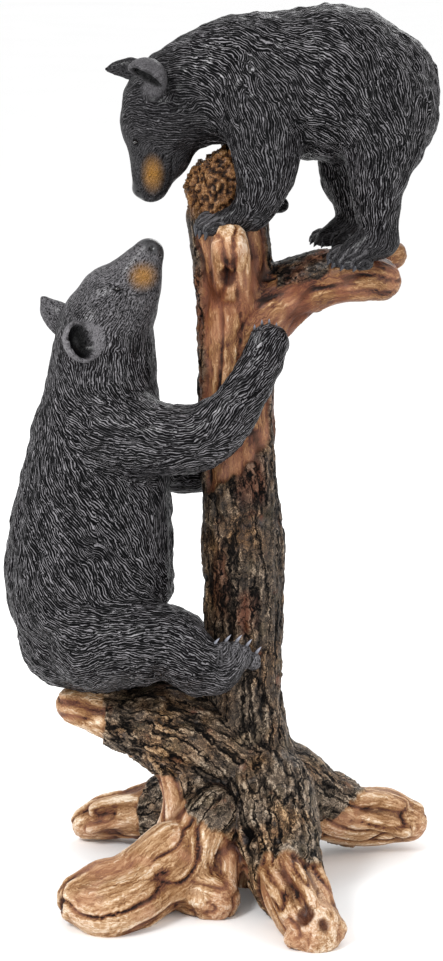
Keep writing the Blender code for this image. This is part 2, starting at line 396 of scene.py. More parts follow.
@dataclass(frozen=True)
class Paw:
    """Toes side by side, each one reaching forward, in millimetres.

    Attributes:
        first: root of the first toe.
        last: root of the last toe.
        radius: thickness of a toe's root.
        reach: from a middle toe's root to its tip.
        claw: from a claw's root to its tip.
        curl: how far the tip bends away from that.
        thickness: radius of a claw's root.
    """

    first: Point
    last: Point
    radius: float
    reach: Point
    claw: Point
    curl: Point
    thickness: float

    def toes(self) -> list[Toe]:
        """One limb for each toe, the middle ones longest.

        Returns:
            The toes, from first to last.
        """
        limbs = []
        for number in range(TOES):
            share = number / (TOES - 1)
            root = Vector(self.first).lerp(Vector(self.last), share)
            tip = root + Vector(self.reach) * math.sin(math.pi * (0.15 + 0.7 * share))
            limbs.append(Toe(((*root, self.radius), (*tip, self.radius * 0.82))))
        return limbs

    def claws(self) -> "list[Claw]":
        """The claws, each one starting in the tip of its toe.

        Returns:
            The claws, from first to last.
        """
        sunk = Vector(self.reach).normalized() * self.radius * 0.5
        tips = [Vector(limb.stations[-1][:3]) for limb in self.toes()]
        return [Claw(tuple(tip + sunk), self.claw, self.curl, self.thickness) for tip in tips]


def baked(form: bpy.types.Object) -> bpy.types.Object:
    """The same object with its modifiers worked into its mesh.

    Args:
        form: the object.

    Returns:
        The object itself.
    """
    bpy.context.view_layer.update()
    mesh = bpy.data.meshes.new_from_object(form.evaluated_get(bpy.context.evaluated_depsgraph_get()))
    form.modifiers.clear()
    form.data = mesh
    return form


def fuse(name: str, pieces: list[bpy.types.Object], voxel: float, smoothing: int) -> bpy.types.Object:
    """One closed skin over overlapping pieces.

    Args:
        name: the new object's name.
        pieces: what it is made from; they are removed.
        voxel: fineness of the skin in millimetres.
        smoothing: rounds of softening of its creases.

    Returns:
        The fused object.
    """
    bpy.context.view_layer.update()
    graph = bpy.context.evaluated_depsgraph_get()
    joined = bmesh.new()
    for piece in pieces:
        mesh = bpy.data.meshes.new_from_object(piece.evaluated_get(graph))
        mesh.transform(piece.matrix_world)
        joined.from_mesh(mesh)
        bpy.data.meshes.remove(mesh)
    for piece in pieces:
        bpy.data.objects.remove(piece)
    bmesh.ops.remove_doubles(joined, verts=joined.verts, dist=0.0001)
    skin = bpy.data.meshes.new(name)
    joined.to_mesh(skin)
    joined.free()
    form = placed(name, skin)
    remesh = form.modifiers.new("one skin", "REMESH")
    remesh.mode = "VOXEL"
    remesh.voxel_size = voxel
    soften = form.modifiers.new("soft creases", "SMOOTH")
    soften.factor = 0.5
    soften.iterations = smoothing
    return baked(form)


@dataclass
class Skin:
    """A fine skin as arrays, in millimetres, with the carving added to it.

    Attributes:
        form: the object that the skin belongs to.
        points: the place of each vertex.
        normals: which way each vertex faces.
    """

    form: bpy.types.Object
    points: np.ndarray = field(init=False)
    normals: np.ndarray = field(init=False)

    def __post_init__(self) -> None:
        """Read the places and normals of the form's vertices."""
        self.read()

    def read(self) -> None:
        """Read the places and normals of the form's vertices again."""
        self.points = rows_of(self.form.data.vertices, "co", 3)
        self.normals = rows_of(self.form.data.vertex_normals, "vector", 3)

    def push(self, heights: np.ndarray) -> None:
        """Raise each vertex along its normal by a height in millimetres."""
        self.move(self.points + self.normals * heights[:, None])

    def move(self, places: np.ndarray) -> None:
        """Put every vertex at a new place.

        Args:
            places: one row for each vertex, in millimetres.
        """
        self.points = places
        self.form.data.vertices.foreach_set("co", places.ravel())
        self.form.data.update()

    def store(self, name: str, values: np.ndarray, domain: str = "POINT") -> None:
        """Keep a number or a vector on each vertex or face corner, for the paint to read.

        Args:
            name: what the paint calls it.
            values: one row for each vertex or corner.
            domain: POINT for vertices, CORNER for face corners.
        """
        kind, key = ("FLOAT", "value") if values.ndim == 1 else ("FLOAT_VECTOR", "vector")
        attribute = self.form.data.attributes.new(name, kind, domain)
        attribute.data.foreach_set(key, values.astype(np.float32).ravel())

    def store_all(self, **marks: np.ndarray) -> None:
        """Keep several numbers on each vertex, each under its own name."""
        for name, values in marks.items():
            self.store(name, values)

    def corners(self, owner: np.ndarray) -> tuple[np.ndarray, np.ndarray]:
        """Let each face belong to one owner, that of its first corner.

        Args:
            owner: an owner for each vertex.

        Returns:
            For each face corner, its vertex and its face's owner.
        """
        vertices = rows_of(self.form.data.loops, "vertex_index", 1, int)[:, 0]
        sides = rows_of(self.form.data.polygons, "loop_total", 1, int)[:, 0]
        starts = np.concatenate([[0], np.cumsum(sides)[:-1]])
        return vertices, np.repeat(owner[vertices[starts]], sides)

    def scatter(
        self, picker: np.random.Generator, share: float, count: int
    ) -> tuple[np.ndarray, np.ndarray]:
        """Pick seeds among the vertices.

        Args:
            picker: where the chance comes from.
            share: how large a share of the vertices become seeds.
            count: how many seeds to look up for each vertex.

        Returns:
            The seeds' vertices, and for each vertex its nearest seeds as rows of that list.
        """
        seeds = np.flatnonzero(picker.random(len(self.points)) < share)
        tree = KDTree(len(seeds))
        for number, index in enumerate(seeds):
            tree.insert(self.points[index], number)
        tree.balance()
        rows = [[found[1] for found in tree.find_n(point, count)] for point in self.points]
        return seeds, np.array(rows)

    def sheltered(self, rounds: int) -> np.ndarray:
        """How far each vertex lies below its smoothed surroundings.

        Args:
            rounds: how far the surroundings reach, in rounds of smoothing.

        Returns:
            Depths in millimetres; crests are negative.
        """
        ends = rows_of(self.form.data.edges, "vertices", 2, int)
        one, two = ends.T
        count = np.bincount(ends.ravel(), minlength=len(self.points))
        smooth = self.points.copy()
        for _ in range(rounds):
            for axis in range(3):
                column = smooth[:, axis].copy()
                total = np.bincount(one, column[two], len(column))
                total += np.bincount(two, column[one], len(column))
                smooth[:, axis] = total / count
        return ((smooth - self.points) * self.normals).sum(1)

    def nearest(self, limb: Limb) -> tuple[np.ndarray, np.ndarray, np.ndarray]:
        """Where each vertex lies along a limb.

        Args:
            limb: the limb to measure against.

        Returns:
            The row of the nearest station, the distance in radii, and the filled-in stations.
        """
        spine = limb.spine()
        flat = np.array([1, 1 / limb.width, 1])
        here = self.points * flat
        centres = spine[:, :3] * flat
        squares = (here**2).sum(1)[:, None] + (centres**2).sum(1)[None] - 2 * here @ centres.T
        row = squares.argmin(1)
        gap = np.sqrt(np.maximum(squares[np.arange(len(here)), row], 0))
        return row, gap / spine[row, 3], spine


def tangents(spine: np.ndarray) -> np.ndarray:
    """Unit directions along filled-in stations."""
    return unit(np.gradient(spine[:, :3], axis=0))


# Paint


class Value:
    """A shader socket that carries a number, with arithmetic written as Python."""

    def __init__(self, paint: "Paint", socket: Socket) -> None:
        """Wrap a socket of the paint's nodes."""
        self.paint = paint
        self.socket = socket

    def _maths(self, operation: str, *values: "Value | float") -> "Value":
        """Add one Math node."""
        made = self.paint.node("ShaderNodeMath", {"operation": operation}, list(values))
        return Value(self.paint, made.outputs[0])

    def __add__(self, other: "Value | float") -> "Value":
        """Sum."""
        return self._maths("ADD", self, other)

    __radd__ = __add__

    def __sub__(self, other: "Value | float") -> "Value":
        """Difference."""
        return self._maths("SUBTRACT", self, other)

    def __rsub__(self, other: float) -> "Value":
        """Difference, the other way round."""
        return self._maths("SUBTRACT", other, self)

    def __mul__(self, other: "Value | float") -> "Value":
        """Product."""
        return self._maths("MULTIPLY", self, other)

    __rmul__ = __mul__

    def __abs__(self) -> "Value":
        """Size without the sign."""
        return self._maths("ABSOLUTE", self)

    def sine(self) -> "Value":
        """Sine, brought from 0 to 1."""
        return self._maths("SINE", self) * 0.5 + 0.5

    def at_least(self, other: "Value | float") -> "Value":
        """The larger of the two."""
        return self._maths("MAXIMUM", self, other)

    def ramp(self, low: float, high: float) -> "Value":
        """A smooth step from 0 at low to 1 at high.

        Args:
            low: where the step starts.
            high: where it ends.

        Returns:
            The stepped value.
        """
        settings = {"interpolation_type": "SMOOTHSTEP"}
        made = self.paint.node("ShaderNodeMapRange", settings, [self, low, high, 0, 1])
        return Value(self.paint, made.outputs[0])


@dataclass
class Paint:
    """A material under construction.

    Attributes:
        material: the material itself.
        shader: the Principled shader that its nodes feed.
    """

    material: bpy.types.Material
    shader: bpy.types.Node = field(init=False)

    def __post_init__(self) -> None:
        """Switch the material to nodes and find its shader."""
        self.material.use_nodes = True
        self.shader = self.material.node_tree.nodes["Principled BSDF"]

    def feed(self, target: Socket, value: object) -> None:
        """Give a socket a constant, or link a socket or a Value to it.

        Args:
            target: the socket that is fed.
            value: what goes into it.
        """
        if isinstance(value, Value):
            value = value.socket
        if isinstance(value, Socket):
            self.material.node_tree.links.new(value, target)
        else:
            target.default_value = value

    def node(
        self, kind: str, settings: dict | None = None, values: "list | dict | None" = None
    ) -> bpy.types.Node:
        """Add a node.

        Args:
            kind: the node's type.
            settings: its own settings, set before its sockets; stops are those of a ramp.
            values: what goes into its sockets, by number or name: a constant, a socket or a Value.

        Returns:
            The node.
        """
        made = self.material.node_tree.nodes.new(kind)
        for name, setting in (settings or {}).items():
            if name == "stops":
                for place, colour in setting[2:]:
                    made.color_ramp.elements.new(place)
                for element, (place, colour) in zip(made.color_ramp.elements, sorted(setting)):
                    element.position = place
                    element.color = (*colour, 1)
            else:
                setattr(made, name, setting)
        for key, value in enumerate(values) if isinstance(values, list) else (values or {}).items():
            self.feed(made.inputs[key], value)
        return made

    def stored(self, name: str) -> Value:
        """A number kept on the mesh."""
        return Value(self, self.node("ShaderNodeAttribute", {"attribute_name": name}).outputs["Fac"])

    def stored_vector(self, name: str) -> Socket:
        """A vector kept on the mesh."""
        return self.node("ShaderNodeAttribute", {"attribute_name": name}).outputs["Vector"]

    def place(self) -> Socket:
        """The place on the object, in metres."""
        return self.node("ShaderNodeTexCoord").outputs["Object"]

    def vector(self, operation: str, *values: object) -> Socket:
        """Add a Vector Math node and give its vector."""
        return self.node("ShaderNodeVectorMath", {"operation": operation}, list(values)).outputs["Vector"]

    def first(self, vector: Socket) -> Value:
        """The first coordinate of a vector."""
        return Value(self, self.node("ShaderNodeSeparateXYZ", None, [vector]).outputs[0])

    def scaled(self, vector: Socket, amount: float) -> Socket:
        """A vector times a number."""
        return self.vector("MULTIPLY", vector, (amount, amount, amount))

    def stretched(self, vector: Socket, share: float) -> Socket:
        """Coordinates with the third one, along the fur or grain, scaled by a share."""
        return self.vector("MULTIPLY", vector, (1, 1, share))

    def wander(self, place: Socket, size: float, detail: float) -> Socket:
        """An offset that drifts by about half a unit each way, in swells of a size in metres.

        Args:
            place: where the noise is read.
            size: width of a swell.
            detail: how many finer swells are added.

        Returns:
            The offset, as a vector.
        """
        values = {"Vector": place, "Scale": 1 / size, "Detail": detail}
        drift = self.node("ShaderNodeTexNoise", None, values).outputs["Color"]
        return self.vector("SUBTRACT", drift, (0.5, 0.5, 0.5))

    def noise(self, place: Socket, size: float, detail: float = 2, rough: float = 0.5) -> Value:
        """Noise with swells of a size in metres, from 0 to 1."""
        values = {"Vector": place, "Scale": 1 / size, "Detail": detail, "Roughness": rough}
        return Value(self, self.node("ShaderNodeTexNoise", None, values).outputs[0])

    def mix(self, share: "Value | float", one: object, two: object, blend: str = "MIX") -> Socket:
        """Two colours mixed; colours are given as sockets or as red, green and blue.

        Args:
            share: how much of the second colour shows.
            one: the first colour.
            two: the second colour.
            blend: how they are blended.

        Returns:
            The mixed colour.
        """
        colours = [(*colour, 1) if isinstance(colour, tuple) else colour for colour in (one, two)]
        settings = {"data_type": "RGBA", "blend_type": blend}
        return self.node("ShaderNodeMix", settings, {0: share, 6: colours[0], 7: colours[1]}).outputs[2]

    def layered(self, colour: Socket, *layers: "tuple[Value, Colour]") -> Socket:
        """A colour with further ones laid over it, each by its share.

        Args:
            colour: what lies below.
            layers: a share and a colour for each layer.

        Returns:
            The colour that shows.
        """
        for share, tint in layers:
            colour = self.mix(share, colour, tint)
        return colour

    def ramp_colour(self, share: Value, stops: Stops) -> Socket:
        """A colour picked from a ramp by a number from 0 to 1."""
        return self.node("ShaderNodeValToRGB", {"stops": stops}, [share]).outputs[0]

    def connect(self, name: str, value: object) -> None:
        """Feed a socket of the shader."""
        self.feed(self.shader.inputs[name], value)

    def bump(self, height: Value, depth: float, strength: float = 1.0) -> None:
        """Turn a height from 0 to 1 into shading relief of a depth in metres."""
        values = {"Strength": strength, "Distance": depth, "Height": height}
        self.connect("Normal", self.node("ShaderNodeBump", None, values).outputs[0])


@dataclass(frozen=True)
class FurFinish:
    """Near-black paint on carved fur, grey dry-brush paint and painted highlights on the strokes, and painted
    shade in the creases and hollows.

    Attributes:
        recess: colour between the strokes, also laid over creases and hollows as painted shade.
        coat: colour of the strokes.
        brushed_highlight: grey on the crests, both dry-brush paint and a painted highlight.
        muzzle: airbrushed patch on the side of the snout.
        skin: bare skin of the nose.
        face_brushing_and_highlight: how much more of that grey lies on the fine fur of the face, as dry-brush
            paint and as a painted highlight where the face catches the light.
        stroke: width of a fine stroke, in metres.
        stretch: how many times longer than wide it is.
    """

    recess: Colour = (0.0018, 0.0018, 0.0022)
    coat: Colour = (0.038, 0.0365, 0.0395)
    brushed_highlight: Colour = (0.268, 0.257, 0.272)
    muzzle: Colour = (0.42, 0.2, 0.04)
    skin: Colour = (0.02, 0.02, 0.022)
    face_brushing_and_highlight: float = -0.04
    stroke: float = 0.0009
    stretch: float = 10.0

    def strokes(self, paint: Paint, combed: Socket) -> Value:
        """Crests of combed strokes, from 0 to 1.

        Args:
            paint: the material under construction.
            combed: coordinates across and along the fur, in metres.

        Returns:
            1 on a crest, 0 between the strokes.
        """
        squeezed = paint.stretched(combed, 1 / self.stretch)
        broken = paint.noise(squeezed, self.stroke, 1.0, 0.4).ramp(0.36, 0.64)
        drift = paint.noise(squeezed, self.stroke * 2.5, 1.0)
        line = (paint.first(combed) * (math.tau / (self.stroke * 2.3)) + drift * 8).sine()
        return (broken * 0.38 + line * 0.76 - 0.1).ramp(0.28, 0.9)

    def build(self, name: str) -> bpy.types.Material:
        """The fur material.

        Args:
            name: the material's name.

        Returns:
            The material, which reads what Bear.build keeps on the mesh.
        """
        paint = Paint(bpy.data.materials.new(name))
        place = paint.place()
        sway = paint.scaled(paint.wander(place, 0.008, 1), 0.0036)
        combed = paint.vector("ADD", paint.stored_vector("lock"), sway)
        fine, relief, skin, velvet = map(paint.stored, ("fine", "relief", "skin", "velvet"))
        muzzle, rim, wash, hollow = map(paint.stored, ("muzzle", "rim", "wash", "hollow"))
        grain = paint.noise(place, 0.0014, 2)
        worn = paint.noise(place, 0.03, 3)
        stipple = paint.noise(paint.stretched(combed, 0.4), 0.0008, 2, 0.6).ramp(0.25, 0.75)
        stroke = self.strokes(paint, combed) * (1 - fine) + stipple * fine
        lock = (relief * (1 - fine * 0.75) + 0.5 * fine) * 0.4 + worn * 0.35 + 0.27
        height = (stroke * (1 - velvet * 0.5) + relief * 0.3) * (1 - skin * 0.85) + grain * 0.15
        paint.bump(height, 0.0015)
        covered = (stroke * 1.1 + lock * 0.3 + fine * 0.12 - 0.34).ramp(0.0, 0.7)
        # Grey on the highest stroke crests, more or less on the face: dry-brush paint and a painted
        # highlight.
        lit = (stroke * 0.9 + lock * 0.55 + grain * 0.25 + fine * self.face_brushing_and_highlight - 1.15).ramp(0.0, 0.46)
        colour = paint.layered(
            paint.mix(covered, self.recess, self.coat),
            (lit * (1 - fine * 0.45), self.brushed_highlight),
            (velvet * (0.05 + 0.35 * grain), self.brushed_highlight),
            (muzzle * (0.5 + 0.5 * stipple), self.muzzle),
            # Painted highlight on the toes' rims beside their grooves, in the crests' grey.
            (rim * 0.5, self.brushed_highlight),
            (skin * 0.85, self.skin),
            # Painted shade in the creases, the carved nostrils, mouth, eyes and toe grooves, the ear cups and
            # the eye sockets.
            (wash * 0.8, self.recess),
            (hollow * 0.9, self.recess),
        )
        paint.connect("Base Color", colour)
        paint.connect("Roughness", 0.5 - 0.14 * skin + 0.2 * (1 - stroke))
        paint.connect("Coat Weight", (stroke * (0.15 + 0.4 * relief)).at_least(skin * 0.8))
        paint.connect("Coat Roughness", 0.28)
        paint.connect("Specular IOR Level", 0.04)
        return paint.material


@dataclass(frozen=True)
class StumpFinish:
    """Painted bare wood and bark, with painted highlights on small crests and painted shade in the recesses,
    partly dark paint washed into them.

    Attributes:
        wood: stops from the recesses to the crests of the bare wood.
        bark: the same for the bark.
        crumb: the same for the crumbled top.
        umber: brown laid softly over parts of the bark.
        moss: greenish patches on the bark.
        slate: bluish-grey patches on the bark.
        rust: red-brown patches and stains.
        blush: pinkish patches on the bare wood.
        wash: painted shade in the deep recesses and dents, partly dark paint washed into them.
        gap: colour down in the cracks of the bark.
    """

    wood: Stops = (
        (0.0, (0.012, 0.004, 0.002)),
        (0.22, (0.1, 0.032, 0.017)),
        (0.48, (0.24, 0.113, 0.042)),
        (0.72, (0.5, 0.305, 0.162)),
        (1.0, (0.86, 0.72, 0.56)),
    )
    bark: Stops = (
        (0.0, (0.002, 0.0015, 0.0012)),
        (0.3, (0.014, 0.01, 0.008)),
        (0.6, (0.072, 0.05, 0.033)),
        (0.82, (0.18, 0.128, 0.086)),
        (1.0, (0.44, 0.35, 0.26)),
    )
    crumb: Stops = (
        (0.0, (0.004, 0.002, 0.001)),
        (0.35, (0.05, 0.02, 0.008)),
        (0.65, (0.22, 0.1, 0.036)),
        (1.0, (0.62, 0.4, 0.2)),
    )
    umber: Colour = (0.75, 0.5, 0.25)
    moss: Colour = (0.1, 0.08, 0.03)
    slate: Colour = (0.06, 0.065, 0.085)
    rust: Colour = (0.2, 0.06, 0.025)
    blush: Colour = (0.46, 0.21, 0.13)
    wash: Colour = (0.2, 0.12, 0.09)
    gap: Colour = (0.0025, 0.002, 0.0018)

    @staticmethod
    def seams(paint: Paint, place: Socket, size: float) -> Value:
        """How far each place is from a long wandering seam.

        Args:
            paint: the material under construction.
            place: where the pattern is read.
            size: how far apart the seams lie, in metres.

        Returns:
            0 in a seam, rising to about 0.3 between them.
        """
        return abs(paint.noise(place, size, 3) - 0.5)

    def build(self, name: str) -> bpy.types.Material:
        """The stump's material.

        Args:
            name: the material's name.

        Returns:
            The material, which reads what Stump.build keeps on the mesh.
        """
        paint = Paint(bpy.data.materials.new(name))
        place = paint.place()
        grain = paint.stored_vector("grain")
        relief, bare, crumb, edge, crease = map(paint.stored, ("relief", "bare", "crumb", "edge", "crease"))
        pale, stain, wash = map(paint.stored, ("pale", "stain", "wash"))
        warped = paint.vector("ADD", grain, paint.scaled(paint.wander(place, 0.006, 2), 0.006))
        speck = paint.noise(place, 0.0022, 3, 0.65)
        spark = paint.noise(place, 0.001, 2, 0.7)
        fibres = paint.noise(paint.stretched(warped, 0.055), 0.0015, 2)
        bands = paint.noise(paint.stretched(warped, 0.1), 0.006, 2)
        blotch = paint.noise(paint.stretched(grain, 0.35), 0.022, 2)
        # The relief makes the bare wood's flutes darker and their crests lighter, partly the wood's own paint
        # and partly painted shade and highlight; small crests get a painted highlight and small creases
        # painted shade.
        wood_tone = relief * 0.6 + fibres * 0.9 + bands * 0.4 + blotch * 0.6 + pale * 0.15
        wood_tone = wood_tone + edge * 0.22 - crease * 0.3 + spark * 0.08 - 1.06
        wood = paint.layered(
            paint.ramp_colour(wood_tone, self.wood),
            (stain * 0.4, self.rust),
            (paint.noise(place, 0.03, 2).ramp(0.45, 0.65) * 0.3, self.blush),
        )
        flakes = paint.noise(paint.stretched(grain, 0.4), 0.003, 4, 0.7)
        furrows = self.seams(paint, paint.stretched(warped, 0.17), 0.0115)
        splits = self.seams(paint, paint.stretched(warped, 0.4), 0.0052)
        # Painted highlight along the rims of the furrows.
        lip_highlight = furrows.ramp(0.03, 0.07) - furrows.ramp(0.07, 0.13)
        gaps = (1 - furrows.ramp(0.0, 0.055)) * 0.97 + (1 - splits.ramp(0.0, 0.05)) * 0.8
        # Small crests of the bark get a painted highlight and small creases painted shade.
        bark_tone = relief * 0.25 + flakes * 0.5 + spark * 1.3 + speck * 0.3 + lip_highlight * 0.2 + pale * 0.15
        bark_tone = bark_tone + edge * 0.2 - crease * 0.28 - 0.77
        browned = paint.noise(place, 0.035, 3).ramp(0.42, 0.7) * 0.75
        bark = paint.layered(
            paint.mix(browned, paint.ramp_colour(bark_tone, self.bark), self.umber, "SOFT_LIGHT"),
            (paint.noise(place, 0.022, 3).ramp(0.52, 0.72) * 0.2, self.moss),
            (paint.noise(place, 0.017, 2).ramp(0.58, 0.8) * 0.25, self.slate),
            (paint.noise(place, 0.02, 3, 0.6).ramp(0.6, 0.78) * 0.5, self.rust),
            (stain * (0.2 + flakes * 0.5), self.rust),
            (gaps, self.gap),
        )
        # Small creases of the crumbled top get painted shade.
        crumb_tone = relief * 0.4 + speck * 0.8 + spark * 0.9 - crease * 0.4 - 0.47
        colour = paint.mix(crumb, paint.mix(bare, bark, wood), paint.ramp_colour(crumb_tone, self.crumb))
        # Painted shade multiplied into the deep recesses and dents, partly dark paint washed into them.
        paint.connect("Base Color", paint.mix(wash, colour, self.wash, "MULTIPLY"))
        rough_wood = fibres * 1.1 + bands * 0.4
        rough_bark = flakes * 0.9 + spark * 0.5 + (1 - gaps) * 0.6
        paint.bump(bare * rough_wood + (1 - bare) * rough_bark + crumb * speck, 0.0018, 0.9)
        paint.connect("Roughness", 0.62 - 0.14 * bare + 0.1 * (1 - relief))
        paint.connect("Coat Weight", (0.35 * bare + 0.5 * (1 - bare) * (1 - gaps)) * (0.3 + 0.7 * relief))
        paint.connect("Coat Roughness", 0.4)
        paint.connect("Specular IOR Level", 0.06)
        return paint.material


@dataclass(frozen=True)
class HornFinish:
    """Claws, darker at the root.

    Attributes:
        root: colour where a claw leaves its toe.
        tip: colour of its tip.
    """

    root: Colour = (0.02, 0.02, 0.024)
    tip: Colour = (0.3, 0.31, 0.37)

    def build(self, name: str) -> bpy.types.Material:
        """The claw material, which reads tip from the mesh.

        Args:
            name: the material's name.

        Returns:
            The material.
        """
        paint = Paint(bpy.data.materials.new(name))
        streak = paint.noise(paint.place(), 0.0012, 2)
        colour = paint.mix((paint.stored("tip") * 0.9 + streak * 0.35).ramp(0.1, 1), self.root, self.tip)
        paint.connect("Base Color", colour)
        paint.connect("Roughness", 0.3 + 0.2 * streak)
        return paint.material


@dataclass(frozen=True)
class EyeFinish:
    """A dark glossy eye.

    Attributes:
        pupil: its main colour.
        iris: brown in its faint flecks.
    """

    pupil: Colour = (0.004, 0.004, 0.004)
    iris: Colour = (0.02, 0.011, 0.006)

    def build(self, name: str) -> bpy.types.Material:
        """The eye material.

        Args:
            name: the material's name.

        Returns:
            The material.
        """
        paint = Paint(bpy.data.materials.new(name))
        fleck = paint.noise(paint.place(), 0.0006, 2)
        paint.connect("Base Color", paint.mix(fleck.ramp(0.4, 0.8), self.pupil, self.iris))
        paint.connect("Roughness", 0.06 + 0.08 * fleck)
        paint.connect("Coat Weight", 0.6)
        return paint.material


# Castings


@dataclass
class Casting:
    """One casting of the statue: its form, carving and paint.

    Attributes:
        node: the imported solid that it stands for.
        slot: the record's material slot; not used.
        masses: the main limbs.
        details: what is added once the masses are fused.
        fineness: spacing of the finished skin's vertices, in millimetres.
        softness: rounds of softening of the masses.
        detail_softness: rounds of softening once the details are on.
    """

    node: str
    slot: Slot
    masses: list[Limb]
    details: list[Limb | Lump | Ear]
    fineness: float
    softness: int = 6
    detail_softness: int = 1

    @property
    def limbs(self) -> list[Limb]:
        """The main limbs and those among the details."""
        return self.masses + [part for part in self.details if isinstance(part, Limb)]

    def form(self) -> Skin:
        """The fused form on a fine skin.

        Returns:
            The skin, before any carving.
        """
        mass_pieces = [piece for limb in self.masses for piece in limb.build()]
        mass = fuse(self.node + "_looks", mass_pieces, MASS_VOXEL, self.softness)
        detail_pieces = [piece for part in self.details for piece in part.build()]
        whole = fuse(self.node + "_looks", [mass] + detail_pieces, DETAIL_VOXEL, self.detail_softness)
        return Skin(fuse(self.node + "_looks", [whole], self.fineness, FINAL_SOFTNESS))

    def finish(self, skin: Skin, material: bpy.types.Material) -> None:
        """Bring the skin to metres, paint it and set it on the statue.

        Args:
            skin: the carved skin.
            material: its paint.
        """
        place_on_statue(skin.form, material)
        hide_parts(self.node)


def place_on_statue(piece: bpy.types.Object, material: bpy.types.Material) -> None:
    """Bring a piece from millimetres to the statue's metres, shade it smooth and paint it.

    Args:
        piece: the piece, with its mesh in millimetres.
        material: its paint.
    """
    mesh = piece.data
    places = (rows_of(mesh.vertices, "co", 3) + STATUE_SHIFT) * MM
    mesh.vertices.foreach_set("co", places.ravel())
    mesh.polygons.foreach_set("use_smooth", np.ones(len(mesh.polygons), bool))
    mesh.materials.clear()
    mesh.materials.append(material)
    mesh.update()
    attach(piece, "root")
    LOG.info("%s: %d faces", piece.name, len(mesh.polygons))


@dataclass
class Claw:
    """A curved claw, in millimetres.

    Attributes:
        root: where it starts, inside its toe.
        reach: from there to its tip.
        curl: how far the tip bends away from that.
        radius: thickness of its root.
    """

    root: Point
    reach: Point
    curl: Point
    radius: float

    def build(self, into: bmesh.types.BMesh, tips: list[float]) -> None:
        """Add the claw's mesh.

        Args:
            into: the mesh that it goes into.
            tips: how far along the claw each vertex is; the new ones are added.
        """
        forward = Vector(self.reach).normalized()
        side = forward.cross(Vector((0.3, 1, 0.2))).normalized()
        up = side.cross(forward).normalized()
        loops = []
        for ring in range(CLAW_RINGS):
            share = ring / (CLAW_RINGS - 1)
            centre = Vector(self.root) + Vector(self.reach) * share + Vector(self.curl) * share**2
            radius = self.radius * (1 - share) ** 0.6 * (0.85 + 0.3 * math.sin(math.pi * share)) + 0.12
            loop = []
            for number in range(CLAW_SIDES):
                angle = 2 * math.pi * number / CLAW_SIDES
                offset = side * math.cos(angle) * radius * 0.7 + up * math.sin(angle) * radius
                loop.append(into.verts.new(centre + offset))
                tips.append(share)
            loops.append(loop)
        for one, two in zip(loops, loops[1:]):
            for number in range(CLAW_SIDES):
                following = (number + 1) % CLAW_SIDES
                into.faces.new((one[number], one[following], two[following], two[number]))
        into.faces.new(loops[-1])
        into.faces.new(reversed(loops[0]))


